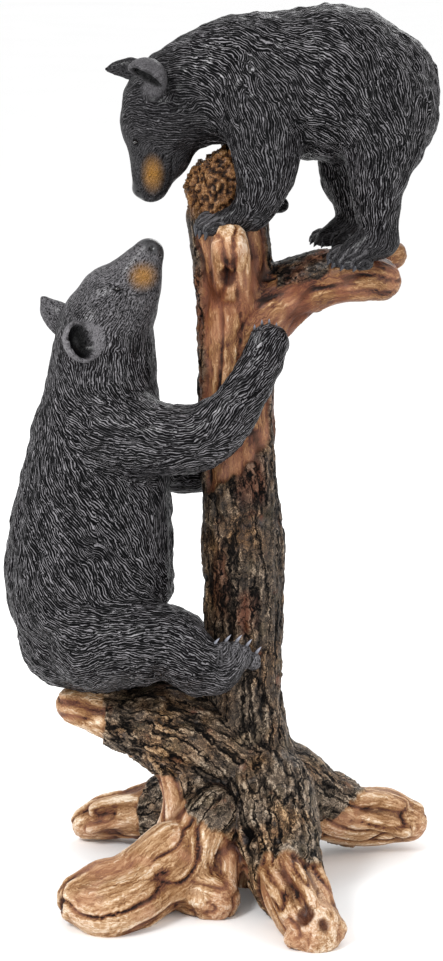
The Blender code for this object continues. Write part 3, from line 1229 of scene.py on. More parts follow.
@dataclass
class Bear(Casting):
    """What both bears share: combed fur, claws and eyes.

    Attributes:
        drift: where the fur on the body is drawn besides along the limbs.
        eyes: centres of the eyes.
        muzzle: centre and half-widths of the airbrushed patches, in x and z.
        eye_radius: half the width of an eye, in millimetres.
        nose: centre and radius of the bare nose.
        nostrils: centres of the nostrils.
        mouth: points along the line of the mouth, in x and z.
        paws: the paws with toes and claws that show.
        lock: width of a lock of painted fur.
        seed: which chances to take.
    """

    drift: Point = (0, 0, 0)
    eyes: list[Point] = field(default_factory=list)
    eye_radius: float = 2.3
    muzzle: tuple[float, float, float, float] = (0, 0, 1, 1)
    nose: tuple[Point, float] = ((0, 0, 0), 1)
    nostrils: list[Point] = field(default_factory=list)
    mouth: list[tuple[float, float]] = field(default_factory=list)
    paws: list[Paw] = field(default_factory=list)
    lock: float = 17.0
    seed: int = 1

    def from_ears(self, points: np.ndarray) -> np.ndarray:
        """How far each place is from the nearest cupped ear, in the ear's largest radii."""
        return np.min([part.distance(points) for part in self.details if isinstance(part, Ear)], axis=0)

    def comb(self, skin: Skin) -> tuple[np.ndarray, np.ndarray]:
        """Which way the fur lies, and how fine it is.

        Args:
            skin: the bear's skin.

        Returns:
            A unit direction for each vertex, and its fineness from 0 to 1.
        """
        flow = np.zeros_like(skin.points)
        fine = np.zeros(len(skin.points))
        total = np.full(len(skin.points), 1e-9)
        for limb in self.limbs:
            row, gap, spine = skin.nearest(limb)
            weight = np.exp(-(((gap - 1) / 0.22) ** 2))
            flow += weight[:, None] * tangents(spine)[row] * limb.combing.value
            fine += weight * limb.fineness
            total += weight
        fine = np.maximum(fine / total, 1 - step_between(0.95, 1.25, self.from_ears(skin.points)))
        flow = flow / total[:, None] + np.array(self.drift) * (1 - fine)[:, None]
        flow = self.level(skin, flow)
        swirl = 0.55 * soft_noise(skin.points / 34, self.seed)
        swirl += 0.3 * soft_noise(skin.points / 12, self.seed + 5)
        side = np.cross(skin.normals, flow)
        flow = flow * np.cos(swirl)[:, None] + side * np.sin(swirl)[:, None]
        return flow, np.clip(fine, 0, 1)

    @staticmethod
    def level(skin: Skin, flow: np.ndarray) -> np.ndarray:
        """Directions laid down into the surface."""
        return unit(flow - skin.normals * (flow * skin.normals).sum(1)[:, None])

    def lay_locks(self, skin: Skin, flow: np.ndarray) -> None:
        """Give each face its place across and along the lock of fur that it belongs to, in metres.

        Args:
            skin: the bear's skin.
            flow: which way the fur lies at each vertex.
        """
        picker = np.random.default_rng(self.seed + 1)
        seeds, rows = skin.scatter(picker, (self.fineness / self.lock) ** 2, LOCK_NEIGHBOURS)
        near = seeds[rows]
        offset = skin.points[:, None] - skin.points[near]
        along = (offset * flow[near]).sum(2)
        reach = (offset**2).sum(2) - 0.86 * along**2
        corners, middle = skin.corners(near[np.arange(len(near)), reach.argmin(1)])
        side = np.cross(skin.normals[middle], flow[middle])
        offset = skin.points[corners] - skin.points[middle]
        along = (offset * flow[middle]).sum(1)
        across = (offset * side).sum(1)
        across = np.sign(across) * np.hypot(across, (offset * skin.normals[middle]).sum(1))
        turn = (flow[corners] * side).sum(1) / np.maximum((flow[corners] * flow[middle]).sum(1), 0.5)
        place = np.stack([across - 0.5 * along * turn, middle * LOCK_SHIFT, along], axis=1) * MM
        skin.store("lock", place, "CORNER")

    def strokes(self, skin: Skin, flow: np.ndarray, fine: np.ndarray) -> np.ndarray:
        """Heights of overlapping locks, each one raised towards its tip.

        Args:
            skin: the bear's skin.
            flow: which way the fur lies at each vertex.
            fine: how fine it is.

        Returns:
            A height from 0 to 1 for each vertex.
        """
        picker = np.random.default_rng(self.seed)
        seeds, near = skin.scatter(picker, (self.fineness / STROKE_SPACING) ** 2, STROKE_NEIGHBOURS)
        length, width = (
            (most - less * fine[seeds]) * picker.uniform(0.8, 1.25, len(seeds))
            for most, less in (STROKE_LENGTH, STROKE_WIDTH)
        )
        rise = picker.uniform(0.6, 1.0, len(seeds))
        bend = picker.uniform(-0.03, 0.03, len(seeds))
        across = np.cross(skin.normals[seeds], flow[seeds])
        height = np.zeros(len(skin.points))
        for column in near.T:
            offset = skin.points - skin.points[seeds[column]]
            along = (offset * flow[seeds[column]]).sum(1)
            aside = (offset * across[column]).sum(1) + bend[column] * along**2
            share = along / length[column]
            body = np.clip(1 - share**2, 0, 1)
            half = width[column] * np.sqrt(body) * (1 - 0.35 * share)
            profile = np.clip(1 - (aside / np.maximum(half, 0.05)) ** 2, 0, 1)
            tip = 0.45 + 0.55 * step_between(-1, 0.55, share)
            height = np.maximum(height, profile**0.6 * tip * rise[column] * (np.abs(share) < 1))
        return height

    def face_masks(self, skin: Skin) -> tuple[np.ndarray, np.ndarray]:
        """Where the airbrushed patches and the bare nose skin are.

        Args:
            skin: the bear's skin.

        Returns:
            Both masks, from 0 to 1.
        """
        x, z, across, tall = self.muzzle
        reach = np.hypot((skin.points[:, 0] - x) / across, (skin.points[:, 2] - z) / tall)
        sideways = step_between(0.25, 0.75, np.abs(skin.normals[:, 1]))
        patch = (1 - step_between(0.1, 1.05, reach)) * sideways
        centre, radius = self.nose
        return patch, 1 - step_between(0.8, 1.05, away(skin.points, centre) / radius)

    def hollows(self, skin: Skin) -> np.ndarray:
        """Where the insides of the ears and the eye sockets are, from 0 to 1, which the paint darkens as
        painted shade.

        Args:
            skin: the bear's skin.

        Returns:
            1 deep inside, 0 elsewhere.
        """
        inside = [part.inside(skin) for part in self.details if isinstance(part, Ear)]
        for eye in self.eyes:
            inside.append(0.8 * (1 - step_between(1.1, 1.8, away(skin.points, eye) / self.eye_radius)))
        return np.max(inside, axis=0)

    def part_toes(self, skin: Skin) -> tuple[np.ndarray, np.ndarray]:
        """Depth of the grooves between the toes in millimetres, and where their rims are, which get a painted
        highlight.

        Args:
            skin: the bear's skin.

        Returns:
            The depths, and the rims from 0 to 1.
        """
        gaps = [skin.nearest(part)[1] for part in self.details if isinstance(part, Toe)]
        first, second = np.sort(gaps, axis=0)[:2]
        near = 1 - step_between(1.3, 1.7, first)
        between = second - first
        groove = 1.9 * near * (1 - step_between(0.0, 0.3, between))
        rim = near * step_between(0.1, 0.3, between) * (1 - step_between(0.3, 0.6, between)) * (second < 2)
        return groove, rim

    def carve_face(self, skin: Skin) -> np.ndarray:
        """Heights of the nostrils, the mouth line and the eye sockets, in millimetres.

        Args:
            skin: the bear's skin.

        Returns:
            One height for each vertex.
        """
        height = np.zeros(len(skin.points))
        for nostril in self.nostrils:
            gap = away(skin.points, nostril, (1, 1, 0.75))
            height -= 2.6 * np.exp(-((gap / 2.3) ** 2))
            height += 0.6 * np.exp(-(((gap - 4.2) / 1.1) ** 2))
        for start, end in zip(self.mouth, self.mouth[1:]):
            line = np.array(end, float) - start
            flat = skin.points[:, [0, 2]] - start
            share = np.clip(flat @ line / (line @ line), 0, 1)
            gap = np.linalg.norm(flat - share[:, None] * line, axis=1)
            sideways = step_between(0.3, 0.7, np.abs(skin.normals[:, 1]))
            height = np.minimum(height, -1.1 * np.exp(-((gap / 1.2) ** 2)) * sideways)
        for eye in self.eyes:
            gap = away(skin.points, eye) / self.eye_radius
            height -= 1.5 * np.exp(-((gap / 1.1) ** 2))
            height += 0.5 * np.exp(-(((gap - 1.75) / 0.4) ** 2))
        return height

    def claw_piece(self, material: bpy.types.Material) -> None:
        """Make all claws of the bear as one piece.

        Args:
            material: their paint.
        """
        body = bmesh.new()
        tips: list[float] = []
        for claw in (claw for paw in self.paws for claw in paw.claws()):
            claw.build(body, tips)
        mesh = bpy.data.meshes.new(self.node + "_claws")
        body.to_mesh(mesh)
        body.free()
        piece = placed(self.node + "_claws", mesh)
        Skin(piece).store("tip", np.array(tips))
        place_on_statue(piece, material)

    def eye_piece(self, number: int, centre: Point, material: bpy.types.Material) -> None:
        """Make one flattened eye.

        Args:
            number: which eye it is.
            centre: its place.
            material: its paint.
        """
        (piece,) = Lump(centre, (self.eye_radius, self.eye_radius * 0.8, self.eye_radius * 0.6)).build()
        piece.name = f"{self.node}_eye_{number}"
        bpy.context.view_layer.update()
        piece.data.transform(piece.matrix_world)
        piece.matrix_world = Matrix()
        place_on_statue(piece, material)

    def build(self, fur: bpy.types.Material, horn: bpy.types.Material, eye: bpy.types.Material) -> None:
        """Form, carve and paint the bear.

        Args:
            fur: the fur's material.
            horn: the claws' material.
            eye: the eyes' material.
        """
        skin = self.form()
        flow, fine = self.comb(skin)
        relief = self.strokes(skin, flow, fine)
        patch, bare_skin = self.face_masks(skin)
        depth = FUR_RELIEF * (1 - 0.8 * fine) * (1 - bare_skin)
        self.lay_locks(skin, flow)
        hollow = self.hollows(skin)
        backs = 1 - step_between(0.9, 1.1, self.from_ears(skin.points))
        face = self.carve_face(skin)
        groove, rim = self.part_toes(skin)
        # Painted shade where the skin lies below its surroundings and in the carved face and toe grooves.
        sunk = np.maximum(step_between(0.4, 1.2, -face), step_between(0.5, 1.6, groove))
        wash = np.maximum(step_between(0.3, 2.2, skin.sheltered(30)), sunk)
        skin.store_all(
            fine=fine, relief=relief, muzzle=patch, skin=bare_skin,
            hollow=hollow, velvet=backs * (1 - hollow), wash=wash, rim=rim,
        )
        tufts = TUFT_RELIEF * soft_noise(skin.points / (7, 7, 10), self.seed + 9) * (1 - fine)
        skin.push((relief - 0.55) * depth + tufts + face - groove)
        self.finish(skin, fur)
        self.claw_piece(horn)
        for number, centre in enumerate(self.eyes, 1):
            self.eye_piece(number, centre, eye)


def upper_bear() -> Bear:
    """The bear that stands on the branch with its head hanging down.

    Returns:
        The bear, ready to be built.
    """
    back = Combing.AGAINST
    masses = [
        # Body
        Limb(((122, 0, 668, 57), (106, 0, 673, 65), (86, 0, 676, 65), (62, 0, 676, 61), (36, 0, 677, 57),
              (14, 0, 678, 55), (-12, 0, 672, 48), (-34, 0, 663, 43)), 0.84, back),
        # Head
        Limb(((-42, 0, 657, 40), (-49, 0, 640, 35.5), (-50, 0, 622, 27)), 0.9, back, 0.7),
        # Snout
        Limb(((-50, 0, 632, 29), (-53, 0, 615, 24), (-56, 0, 603, 20), (-58, 0, 594, 16)), 0.74, back, 1.0),
        # Near foreleg
        Limb(((34, -24, 657, 38), (36, -34, 626, 30), (35, -37, 606, 25), (31, -36, 590, 21),
              (25, -34, 577, 17)), fineness=0.15),
        # Near forefoot
        Limb(((24, -34, 574, 15), (8, -36, 570, 11), (-8, -37, 564, 9)), fineness=0.6),
        # Far foreleg
        Limb(((30, 24, 650, 38), (22, 34, 618, 23), (22, 36, 594, 17), (34, 37, 578, 13), (50, 34, 573, 8)),
             fineness=0.15),
        # Near hind leg
        Limb(((132, -22, 655, 44), (130, -32, 625, 33), (127, -35, 606, 26), (126, -36, 585, 20),
              (128, -36, 562, 16)), fineness=0.1),
        # Near hind foot
        Limb(((130, -36, 552, 15), (116, -37, 547, 14), (104, -38, 541, 11)), fineness=0.6),
        # Far hind leg
        Limb(((118, 22, 650, 44), (106, 32, 618, 29), (103, 35, 596, 21), (110, 36, 574, 16)), fineness=0.1),
        # Far hind foot
        Limb(((112, 36, 556, 14), (98, 36, 550, 12), (88, 36, 545, 9)), fineness=0.6),
    ]
    paws = [
        Paw((117, -57, 537), (97, -25, 542), 6.2, (-12, -1, -4), (-4, -1, -2), (1, 0, -2.5), 3.4),
        Paw((102, 24, 544), (84, 49, 546), 5.8, (-10, 0, -3), (-4, 0, -2), (1, 0, -2.5), 3.2),
        Paw((-5, -48, 563), (-12, -25, 570), 5.8, (-8, -1, -3), (-3, -1, -4), (1, 0, -3), 3.6),
    ]
    details: list[Limb | Lump | Ear] = [
        Lump((-65, 0, 591), (9, 11, 9)),
        Lump((-51, 0, 595), (10, 10, 9)),
        Ear((-61, -43, 682), (-0.48, -0.35, -0.8), (0.87, 0, -0.48), (15, 19, 18)),
        Limb(((-56, 24, 681, 11), (-76, 28, 686, 10), (-88, 29, 686, 6.5), (-95, 30, 685, 3)),
             0.5, back, 1.0),
        *(toe for paw in paws for toe in paw.toes()),
    ]
    return Bear(
        "upper_bear", Slot.UPPER_FUR, masses, details, 1.43,
        drift=(0.25, 0, -0.85),
        eyes=[(-69.5, -20, 630.5), (-69.5, 20, 630.5)],
        muzzle=(-56, 604, 11, 19),
        nose=((-72, 0, 587), 12),
        nostrils=[(-68, -8.5, 587), (-68, 8.5, 587)],
        mouth=[(-52, 585), (-44, 591), (-40.5, 604), (-40, 617)],
        paws=paws,
        seed=11,
    )


def lower_bear() -> Bear:
    """The bear that sits on the limb, hugs the trunk and looks up.

    Returns:
        The bear, ready to be built.
    """
    back = Combing.AGAINST
    near_leg = ((-102, -28, 212, 44), (-68, -48, 216, 37), (-43, -54, 217, 31), (-26, -55, 204, 26))
    near_foot = ((-20, -54, 190, 19), (-2, -51, 190, 17), (8, -49, 202, 15))
    far_leg = tuple((x, -0.9 * y, z - 28, r) for x, y, z, r in near_leg)
    far_foot = tuple((x, -0.9 * y, z - 28, r) for x, y, z, r in near_foot)
    masses = [
        # Body
        Limb(((-99, 0, 437, 46), (-100, 0, 413, 50), (-103, 0, 388, 56), (-105, 0, 353, 62),
              (-109, 0, 310, 69), (-112, 0, 266, 73), (-110, 0, 234, 70), (-106, 0, 214, 54)), 0.86),
        # Rump
        Limb(((-127, 0, 209, 47), (-104, 0, 207, 45)), 0.9),
        # Neck
        Limb(((-98, 0, 452, 43), (-94, -1, 478, 41), (-87, -3, 494, 35)), 0.92, back, 0.6),
        # Head and snout
        Limb(((-86, -3, 494, 33), (-73, -6, 514, 26.5), (-64, -9, 531, 18), (-60, -10, 538, 14)),
             0.8, back, 1.0),
        # Near arm
        Limb(((-86, -22, 392, 40), (-51, -42, 389, 31), (-18, -50, 392, 28), (3, -53, 407, 24),
              (20, -52, 431, 19), (33, -46, 455, 18), (39, -43, 469, 16.5)), fineness=0.15),
        # Far arm
        Limb(((-82, 22, 376, 38), (-49, 43, 353, 27), (-19, 51, 345, 22), (6, 51, 362, 20),
              (24, 43, 390, 17)), fineness=0.15),
        # Near leg
        Limb(near_leg, fineness=0.1),
        # Near foot
        Limb(near_foot, fineness=0.5),
        # Far leg
        Limb(far_leg, fineness=0.1),
        # Far foot
        Limb(far_foot, fineness=0.5),
    ]
    paws = [
        Paw((27, -50, 472), (51, -37, 465), 5.4, (0, 2, 13), (0, 3, 4), (0, 3, 0), 1.6),
        Paw((-8, -61, 209), (27, -46, 197), 6.2, (2, -1, 12), (3, 1, 6), (2, 2, 0), 2.1),
        Paw((-8, 55, 181), (27, 41, 169), 6.2, (2, 1, 12), (3, -1, 6), (2, -2, 0), 2.1),
    ]
    details: list[Limb | Lump | Ear] = [
        Ear((-112, -48, 472), (0.72, -0.6, 0.35), (0.4, 0, -0.92), (16, 19, 19), 0.75),
        Limb(((-122, 16, 470, 15), (-136, 21, 480, 14), (-145, 25, 488, 10), (-149, 26, 494, 5)),
             0.5, back, 1.0),
        Lump((-60, -10, 539), (9, 9, 8)),
        Lump((-66, -9, 524), (11, 10, 10)),
        *(toe for paw in paws for toe in paw.toes()),
    ]
    return Bear(
        "lower_bear", Slot.LOWER_FUR, masses, details, 1.76,
        drift=(0.7, 0, 0),
        eyes=[(-85, -31, 512), (-92, 22, 512)],
        muzzle=(-64, 521, 15, 14),
        nose=((-56, -11, 547), 12),
        nostrils=[(-57, -19, 544), (-54, -3, 544)],
        mouth=[(-47, 536), (-44, 524), (-48, 513), (-57, 507), (-70, 505)],
        paws=paws,
        seed=23,
    )


@dataclass
class Stump(Casting):
    """The stump: bark over bare, fluted wood, a crumbled top and a snapped stub.

    Attributes:
        bark_thickness: how far the bark stands above the bare wood.
        red_spot: centre of a red-brown stain.
        hollows: centre, radius and depth of each dent in the wood.
    """

    softness: int = 5
    detail_softness: int = 5
    bark_thickness: float = 2.6
    red_spot: Point = (20, -33, 236)
    hollows: tuple[tuple[Point, float, float], ...] = (
        ((4, -47, 521), 11, 5.0),
        ((66, -184, 31), 12, 5.5),
        ((81, -188, 20), 8, 5.0),
        ((24, -92, 60), 10, 4.0),
        ((-132, -140, 20), 8, 3.5),
    )

    def bare_mask(self, points: np.ndarray) -> np.ndarray:
        """How bare of bark each place is, with a ragged edge.

        Args:
            points: places in millimetres.

        Returns:
            1 on bare wood, 0 on bark.
        """
        x, y, z = points.T
        frayed = 9 * np.array([noise.noise(Vector((a * 0.05, b * 0.05, c * 0.03))) for a, b, c in points])
        frayed += 3.5 * soft_noise(points / (5, 5, 14), 3)
        side = np.degrees(np.arctan2(x - 12, -y))

        # Each edge is above 0 where the wood is bare: the trunk's front and top, the ends of the roots
        # and of the side limb, and the branch's underside and end
        lower_edge = 358 + 0.9 * (x - 12) + frayed
        trunk = np.minimum(z - lower_edge, np.minimum(side + 54 - 1.4 * frayed, 62 + frayed - side) * 0.5)
        trunk = np.maximum(trunk, z - 578 - 2.5 * frayed)
        left = 96 - 0.72 * (x + 50) + frayed - z
        front = -122 + frayed - y
        outward = np.hypot(x - 24, y) - 104 - frayed
        low = np.where((y < -40) & (x < 24), left, np.where(y < -60, front, outward))
        under = np.minimum(515 + 0.35 * (x - 60) + 0.5 * frayed - z, 12 + frayed - y)
        branch = np.maximum(under, x - 88 - 0.6 * frayed)
        seat_end = -99 + 0.6 * frayed - x
        high = np.where((x > 46) & (z > 440), branch, np.maximum(trunk, seat_end))
        right = np.where(y < 30, 46 + 0.35 * (x - 90) + frayed - z, -9)
        low = np.where((x > 60) & (y > -60), np.maximum(low, right), low)
        edge = np.where(z > 110, high, low)
        return step_between(-0.8, 0.8, edge)

    def grain_frames(self, skin: Skin) -> tuple[np.ndarray, np.ndarray]:
        """Coordinates across and along each limb for every vertex.

        Args:
            skin: the stump's skin.

        Returns:
            For each limb and vertex, two coordinates across and one along, and the distance in radii.
        """
        frames, gaps = [], []
        for number, limb in enumerate(self.limbs):
            row, gap, spine = skin.nearest(limb)
            along = tangents(spine)
            aside = unit(np.cross(along, (0.13, 0.97, 0.2)))
            other = np.cross(along, aside)
            steps = np.linalg.norm(np.diff(spine[:, :3], axis=0), axis=1)
            travelled = np.concatenate([[0], np.cumsum(steps)])
            offset = skin.points - spine[row, :3]
            across = (offset * aside[row]).sum(1)
            deep = (offset * other[row]).sum(1)
            run = travelled[row] + (offset * along[row]).sum(1) + LIMB_SHIFT * number
            frames.append(np.stack([across, deep, run], axis=1))
            gaps.append(gap)
        return np.array(frames), np.array(gaps)

    def carve(self, frames: np.ndarray, gaps: np.ndarray, bare: np.ndarray) -> tuple[np.ndarray, np.ndarray]:
        """Heights of the wood's flutes and of the bark's plates.

        Args:
            frames: coordinates along each limb.
            gaps: distances from each limb, in radii.
            bare: where the bark is gone.

        Returns:
            The height in millimetres, and the same as a share from 0 to 1 for the paint.
        """
        closest = gaps.min(0)
        total = np.zeros(len(closest))
        wood = np.zeros(len(closest))
        plates = np.zeros(len(closest))
        for frame, gap in zip(frames, gaps):
            weight = np.exp(-(((gap - closest) / 0.12) ** 2))
            used = weight > 0.04
            spot, share = frame[used], weight[used]
            wood[used] += share * self.strands(spot)
            plates[used] += share * self.plates(spot)
            total[used] += share
        wood /= total
        plates /= total
        bark = (plates - 0.6) * PLATE_RELIEF + self.bark_thickness
        height = bare * (wood - 0.7) * FLUTE_RELIEF + (1 - bare) * bark
        relief = np.clip(bare * wood + (1 - bare) * plates, 0, 1)
        return height, relief

    @staticmethod
    def strands(spot: np.ndarray) -> np.ndarray:
        """Rounded strands of wood with sharp creases between them.

        Args:
            spot: coordinates across and along a limb, in millimetres.

        Returns:
            Heights from 0 to 1.
        """
        bent = spot.copy()
        bent[:, :2] += 7 * swells(spot / (19, 19, 26), 11, 12)
        broad = np.abs(soft_noise(bent / (14, 14, 120), 21))
        narrow = np.abs(soft_noise(bent / (5.5, 5.5, 70), 22))
        broad = 1 - (1 - np.minimum(broad / 0.42, 1)) ** 2
        narrow = 1 - (1 - np.minimum(narrow / 0.4, 1)) ** 2
        fibre = rough_noise(bent / (2.3, 2.3, 50), 2, 31)
        return np.clip(0.66 * broad + 0.17 * narrow + 0.14 * fibre + 0.1, 0, 1)

    @staticmethod
    def plates(spot: np.ndarray) -> np.ndarray:
        """Flaky bark in long ragged plates, each at a height of its own.

        Args:
            spot: coordinates across and along a limb, in millimetres.

        Returns:
            Heights from 0 to 1.
        """
        bent = spot.copy()
        bent[:, :2] += 3 * swells(spot / (7, 7, 12), 41, 42)
        furrow = step_between(0, 0.36, np.abs(soft_noise(bent / (12, 12, 60), 51)))
        seam = step_between(0, 0.3, np.abs(soft_noise(bent / (5.5, 5.5, 22), 52)))
        crack, own = cracked_cells(bent / (7.5, 7.5, 19), 53)
        flake, flat = cracked_cells((bent + 31) / (3.6, 3.6, 8), 57)
        whole = 0.42 * furrow + 0.16 * seam + 0.24 * own * step_between(0, 0.1, crack)
        whole += 0.12 * flat * step_between(0, 0.12, flake)
        return np.clip(whole + 0.12 * rough_noise(spot / (1.8, 1.8, 4), 2, 61) + 0.04, 0, 1)

    def dents(self, points: np.ndarray) -> np.ndarray:
        """Depths of the hollows in the wood, in millimetres.

        Args:
            points: places in millimetres.

        Returns:
            One depth for each place.
        """
        depth = np.zeros(len(points))
        for centre, radius, deepest in self.hollows:
            gap = away(points, centre, (1, 1, 0.7)) / radius
            depth = np.maximum(depth, deepest * (1 - step_between(0.2, 1.0, gap)))
        return depth

    @staticmethod
    def break_top(skin: Skin) -> None:
        """Splinter the top of the trunk, low at the left and high in the middle.

        Args:
            skin: the stump's skin.
        """
        x, y, z = skin.points.T
        tooth = 10 * np.array([noise.noise(Vector((a * 0.12, b * 0.12, 4.0))) for a, b, _ in skin.points])
        tooth += 5 * soft_noise(skin.points / (4, 4, 60), 77)
        rim = np.minimum(612 + 0.9 * (x + 4), 616 - 0.5 * (x - 6)) + tooth
        top = (z > 560) & (x < 60) & (y > -32)
        lowered = np.where(top, np.minimum(z, rim + 0.2 * (z - rim)), z)
        skin.move(np.stack([x, y, lowered], axis=1))
        skin.read()

    @staticmethod
    def cut_foot(skin: Skin) -> None:
        """Cut the roots off level at the floor.

        Args:
            skin: the stump's skin.
        """
        body = bmesh.new()
        body.from_mesh(skin.form.data)
        everything = body.verts[:] + body.edges[:] + body.faces[:]
        level = {"plane_co": (0, 0, 0), "plane_no": (0, 0, 1)}
        bmesh.ops.bisect_plane(body, geom=everything, clear_inner=True, **level)
        rim = [edge for edge in body.edges if edge.is_boundary]
        filled = bmesh.ops.holes_fill(body, edges=rim, sides=0)
        bmesh.ops.triangulate(body, faces=filled["faces"])
        body.to_mesh(skin.form.data)
        body.free()
        skin.read()

    def crumble(self, points: np.ndarray) -> tuple[np.ndarray, np.ndarray]:
        """Where the top is crumbled, and the height of its chunks.

        Args:
            points: places in millimetres.

        Returns:
            1 on the crumbled top, 0 elsewhere; and heights from 0 to about 1.
        """
        x, y, z = points.T
        crumb = step_between(566, 580, z + 5 * soft_noise(points / 8, 81)) * (x < 60) * (y > -40)
        bent = points + 2 * swells(points / 4, 86, 87, 88)
        chunk, own = cracked_cells(bent / (6.5, 6.5, 10), 83)
        bit, small = cracked_cells(bent / (2.6, 2.6, 4), 84)
        lumps = step_between(0, 0.3, chunk) * (0.35 + 0.4 * own) + 0.25 * small * step_between(0, 0.2, bit)
        return crumb, lumps

    def tones(self, points: np.ndarray) -> tuple[np.ndarray, np.ndarray]:
        """Where the paint is lighter or darker than usual, and where it is stained red-brown.

        Args:
            points: places in millimetres.

        Returns:
            Lightness, which is negative where it is darker, and the stain from 0 to 1.
        """
        x, y, z = points.T
        pale = step_between(230, 50, z) * 0.9 + step_between(540, 560, z) * (y < -40)
        pale += 0.5 * step_between(-98, -106, x) * (z > 110)
        pale -= 1.2 * step_between(40, 70, x) * (z > 440)
        pale -= 0.5 * step_between(300, 340, z) * (x < 60) * (y > -40)
        stain = step_between(0.1, 0.6, soft_noise(points / (14, 14, 50), 95)) * step_between(200, 300, z)
        spot = away(points, self.red_spot, (1, 1, 0.6)) + 4 * soft_noise(points / 5, 97)
        return pale, np.maximum(stain, 1 - step_between(3, 14, spot))

    def build(self, material: bpy.types.Material) -> None:
        """Form, carve and paint the stump.

        Args:
            material: its paint.
        """
        skin = self.form()
        self.break_top(skin)
        bare = self.bare_mask(skin.points)
        frames, gaps = self.grain_frames(skin)
        height, relief = self.carve(frames, gaps, bare)
        crumb, lumps = self.crumble(skin.points)
        dents = self.dents(skin.points)
        height = height * (1 - crumb) + CRUMB_RELIEF * (lumps - 0.4) * crumb - dents
        relief = relief * (1 - crumb) + crumb * np.clip(lumps, 0, 1)
        pale, stain = self.tones(skin.points)
        # Painted shade in the deep recesses and the dents, partly dark paint washed into them.
        wash = np.maximum(step_between(0.4, 3.2, skin.sheltered(36)), step_between(0.5, 2.5, dents))
        skin.push(height)
        skin.read()
        # Painted highlight on the small crests and painted shade in the small creases of the carved surface.
        sunk = skin.sheltered(6)
        edge, crease = step_between(0.1, 0.8, -sunk), step_between(0.2, 1.3, sunk)
        skin.store_all(
            bare=bare, relief=relief, crumb=crumb, pale=pale, stain=stain, wash=wash, edge=edge, crease=crease
        )
        corners, limb = skin.corners(gaps.argmin(0))
        skin.store("grain", frames[limb, corners] * MM, "CORNER")
        self.cut_foot(skin)
        self.finish(skin, material)


def stump() -> Stump:
    """The broken trunk with its branch, stub, side limb and roots.

    Returns:
        The stump, ready to be built.
    """
    masses = [
        # Trunk
        Limb(((29, 0, -10, 54), (29, 0, 30, 53), (26, 0, 75, 44), (20, 0, 118, 36), (18, 0, 160, 31),
              (19, 0, 222, 31.5), (18, 0, 290, 33), (15, 0, 345, 30), (12, 0, 400, 29.5), (12, 0, 447, 30),
              (12, 0, 489, 31), (9, 0, 530, 30.5), (5, 2, 565, 31), (3, 5, 600, 33), (3, 6, 616, 30))),
        # Branch with its near lobe
        Limb(((20, 0, 470, 30), (44, 0, 494, 28), (73, 0, 511, 24), (98, -10, 519, 22), (122, -18, 520, 21),
              (130, -18, 518, 18))),
        # Far lobe of the branch
        Limb(((60, 8, 508, 22), (98, 22, 517, 19), (126, 29, 524, 16), (144, 32, 531, 12))),
        # Snapped stub
        Limb(((8, -14, 505, 19), (7, -32, 530, 17), (6, -47, 553, 15.5))),
        # Side limb
        Limb(((29, 0, 66, 50), (8, 0, 92, 48), (-19, 0, 113, 46), (-53, 0, 129, 38), (-79, 0, 134, 28),
              (-104, 0, 141, 22), (-126, 0, 146, 17))),
        # Swelling beside the stub
        Limb(((-8, -8, 514, 13), (-14, -10, 516, 8))),
        # Root at the front left
        Limb(((-10, -60, 60, 30), (-30, -86, 36, 27), (-58, -114, 24, 25), (-92, -144, 18, 25),
              (-118, -134, 19, 17))),
        # The same root, filled out behind
        Limb(((-44, -88, 50, 22), (-72, -108, 32, 23), (-98, -118, 27, 23), (-118, -128, 24, 17))),
        # The same root, filled out towards the middle
        Limb(((-20, -100, 16, 22), (-4, -110, 14, 20))),
        # Front root
        Limb(((38, -30, 72, 42), (46, -70, 50, 36), (56, -112, 28, 28), (67, -150, 16, 24),
              (76, -174, 12, 22))),
        # Right root
        Limb(((50, 6, 72, 38), (86, 26, 48, 30), (118, 38, 32, 26), (146, 42, 30, 25), (164, 44, 26, 19))),
        # Back left root
        Limb(((-10, 30, 66, 34), (-44, 46, 40, 28), (-80, 58, 26, 24), (-108, 64, 20, 20),
              (-120, 64, 16, 15))),
        # Back root
        Limb(((24, 40, 60, 36), (22, 80, 32, 28), (18, 112, 20, 23), (14, 130, 16, 18))),
    ]
    # Strands of wood along the root at the front left, and ribs on the other bare roots
    strands = zip(
        [(-52, -24, 106, 8), (-34, -30, 100, 8), (-18, -38, 92, 9), (0, -44, 82, 9)],
        [(-42, -46, 84, 9), (-26, -56, 71, 9), (-14, -66, 61, 11), (3, -72, 52, 10)],
        [(-44, -66, 58, 11), (-26, -82, 41, 10), (-14, -94, 33, 13), (3, -98, 26, 12)],
        [(-64, -92, 42, 14), (-36, -108, 20, 14), (-16, -116, 13, 14), (-3, -114, 11, 12)],
    )
    ribs = [
        ((52, -112, 54), (70, -170, 34), 7),
        ((36, -112, 44), (52, -170, 26), 7),
        ((72, -108, 46), (90, -166, 20), 7),
        ((60, -182, 8), (92, -174, 12), 10),
        ((112, 20, 54), (158, 26, 46), 7),
        ((110, 14, 36), (160, 22, 24), 7),
        ((-60, 36, 44), (-112, 48, 34), 6),
        ((-62, 34, 26), (-116, 46, 18), 6),
    ]
    details: list[Limb | Lump | Ear] = [Limb(stations) for stations in strands]
    for start, end, radius in ribs:
        middle = [(a + b) / 2 for a, b in zip(start, end)]
        crest = (middle[0], middle[1], middle[2] + 3, radius + 1)
        details.append(Limb(((*start, radius), crest, (*end, radius))))
    return Stump("tree_stump", Slot.WOOD, masses, details, 2.06)


# Studio


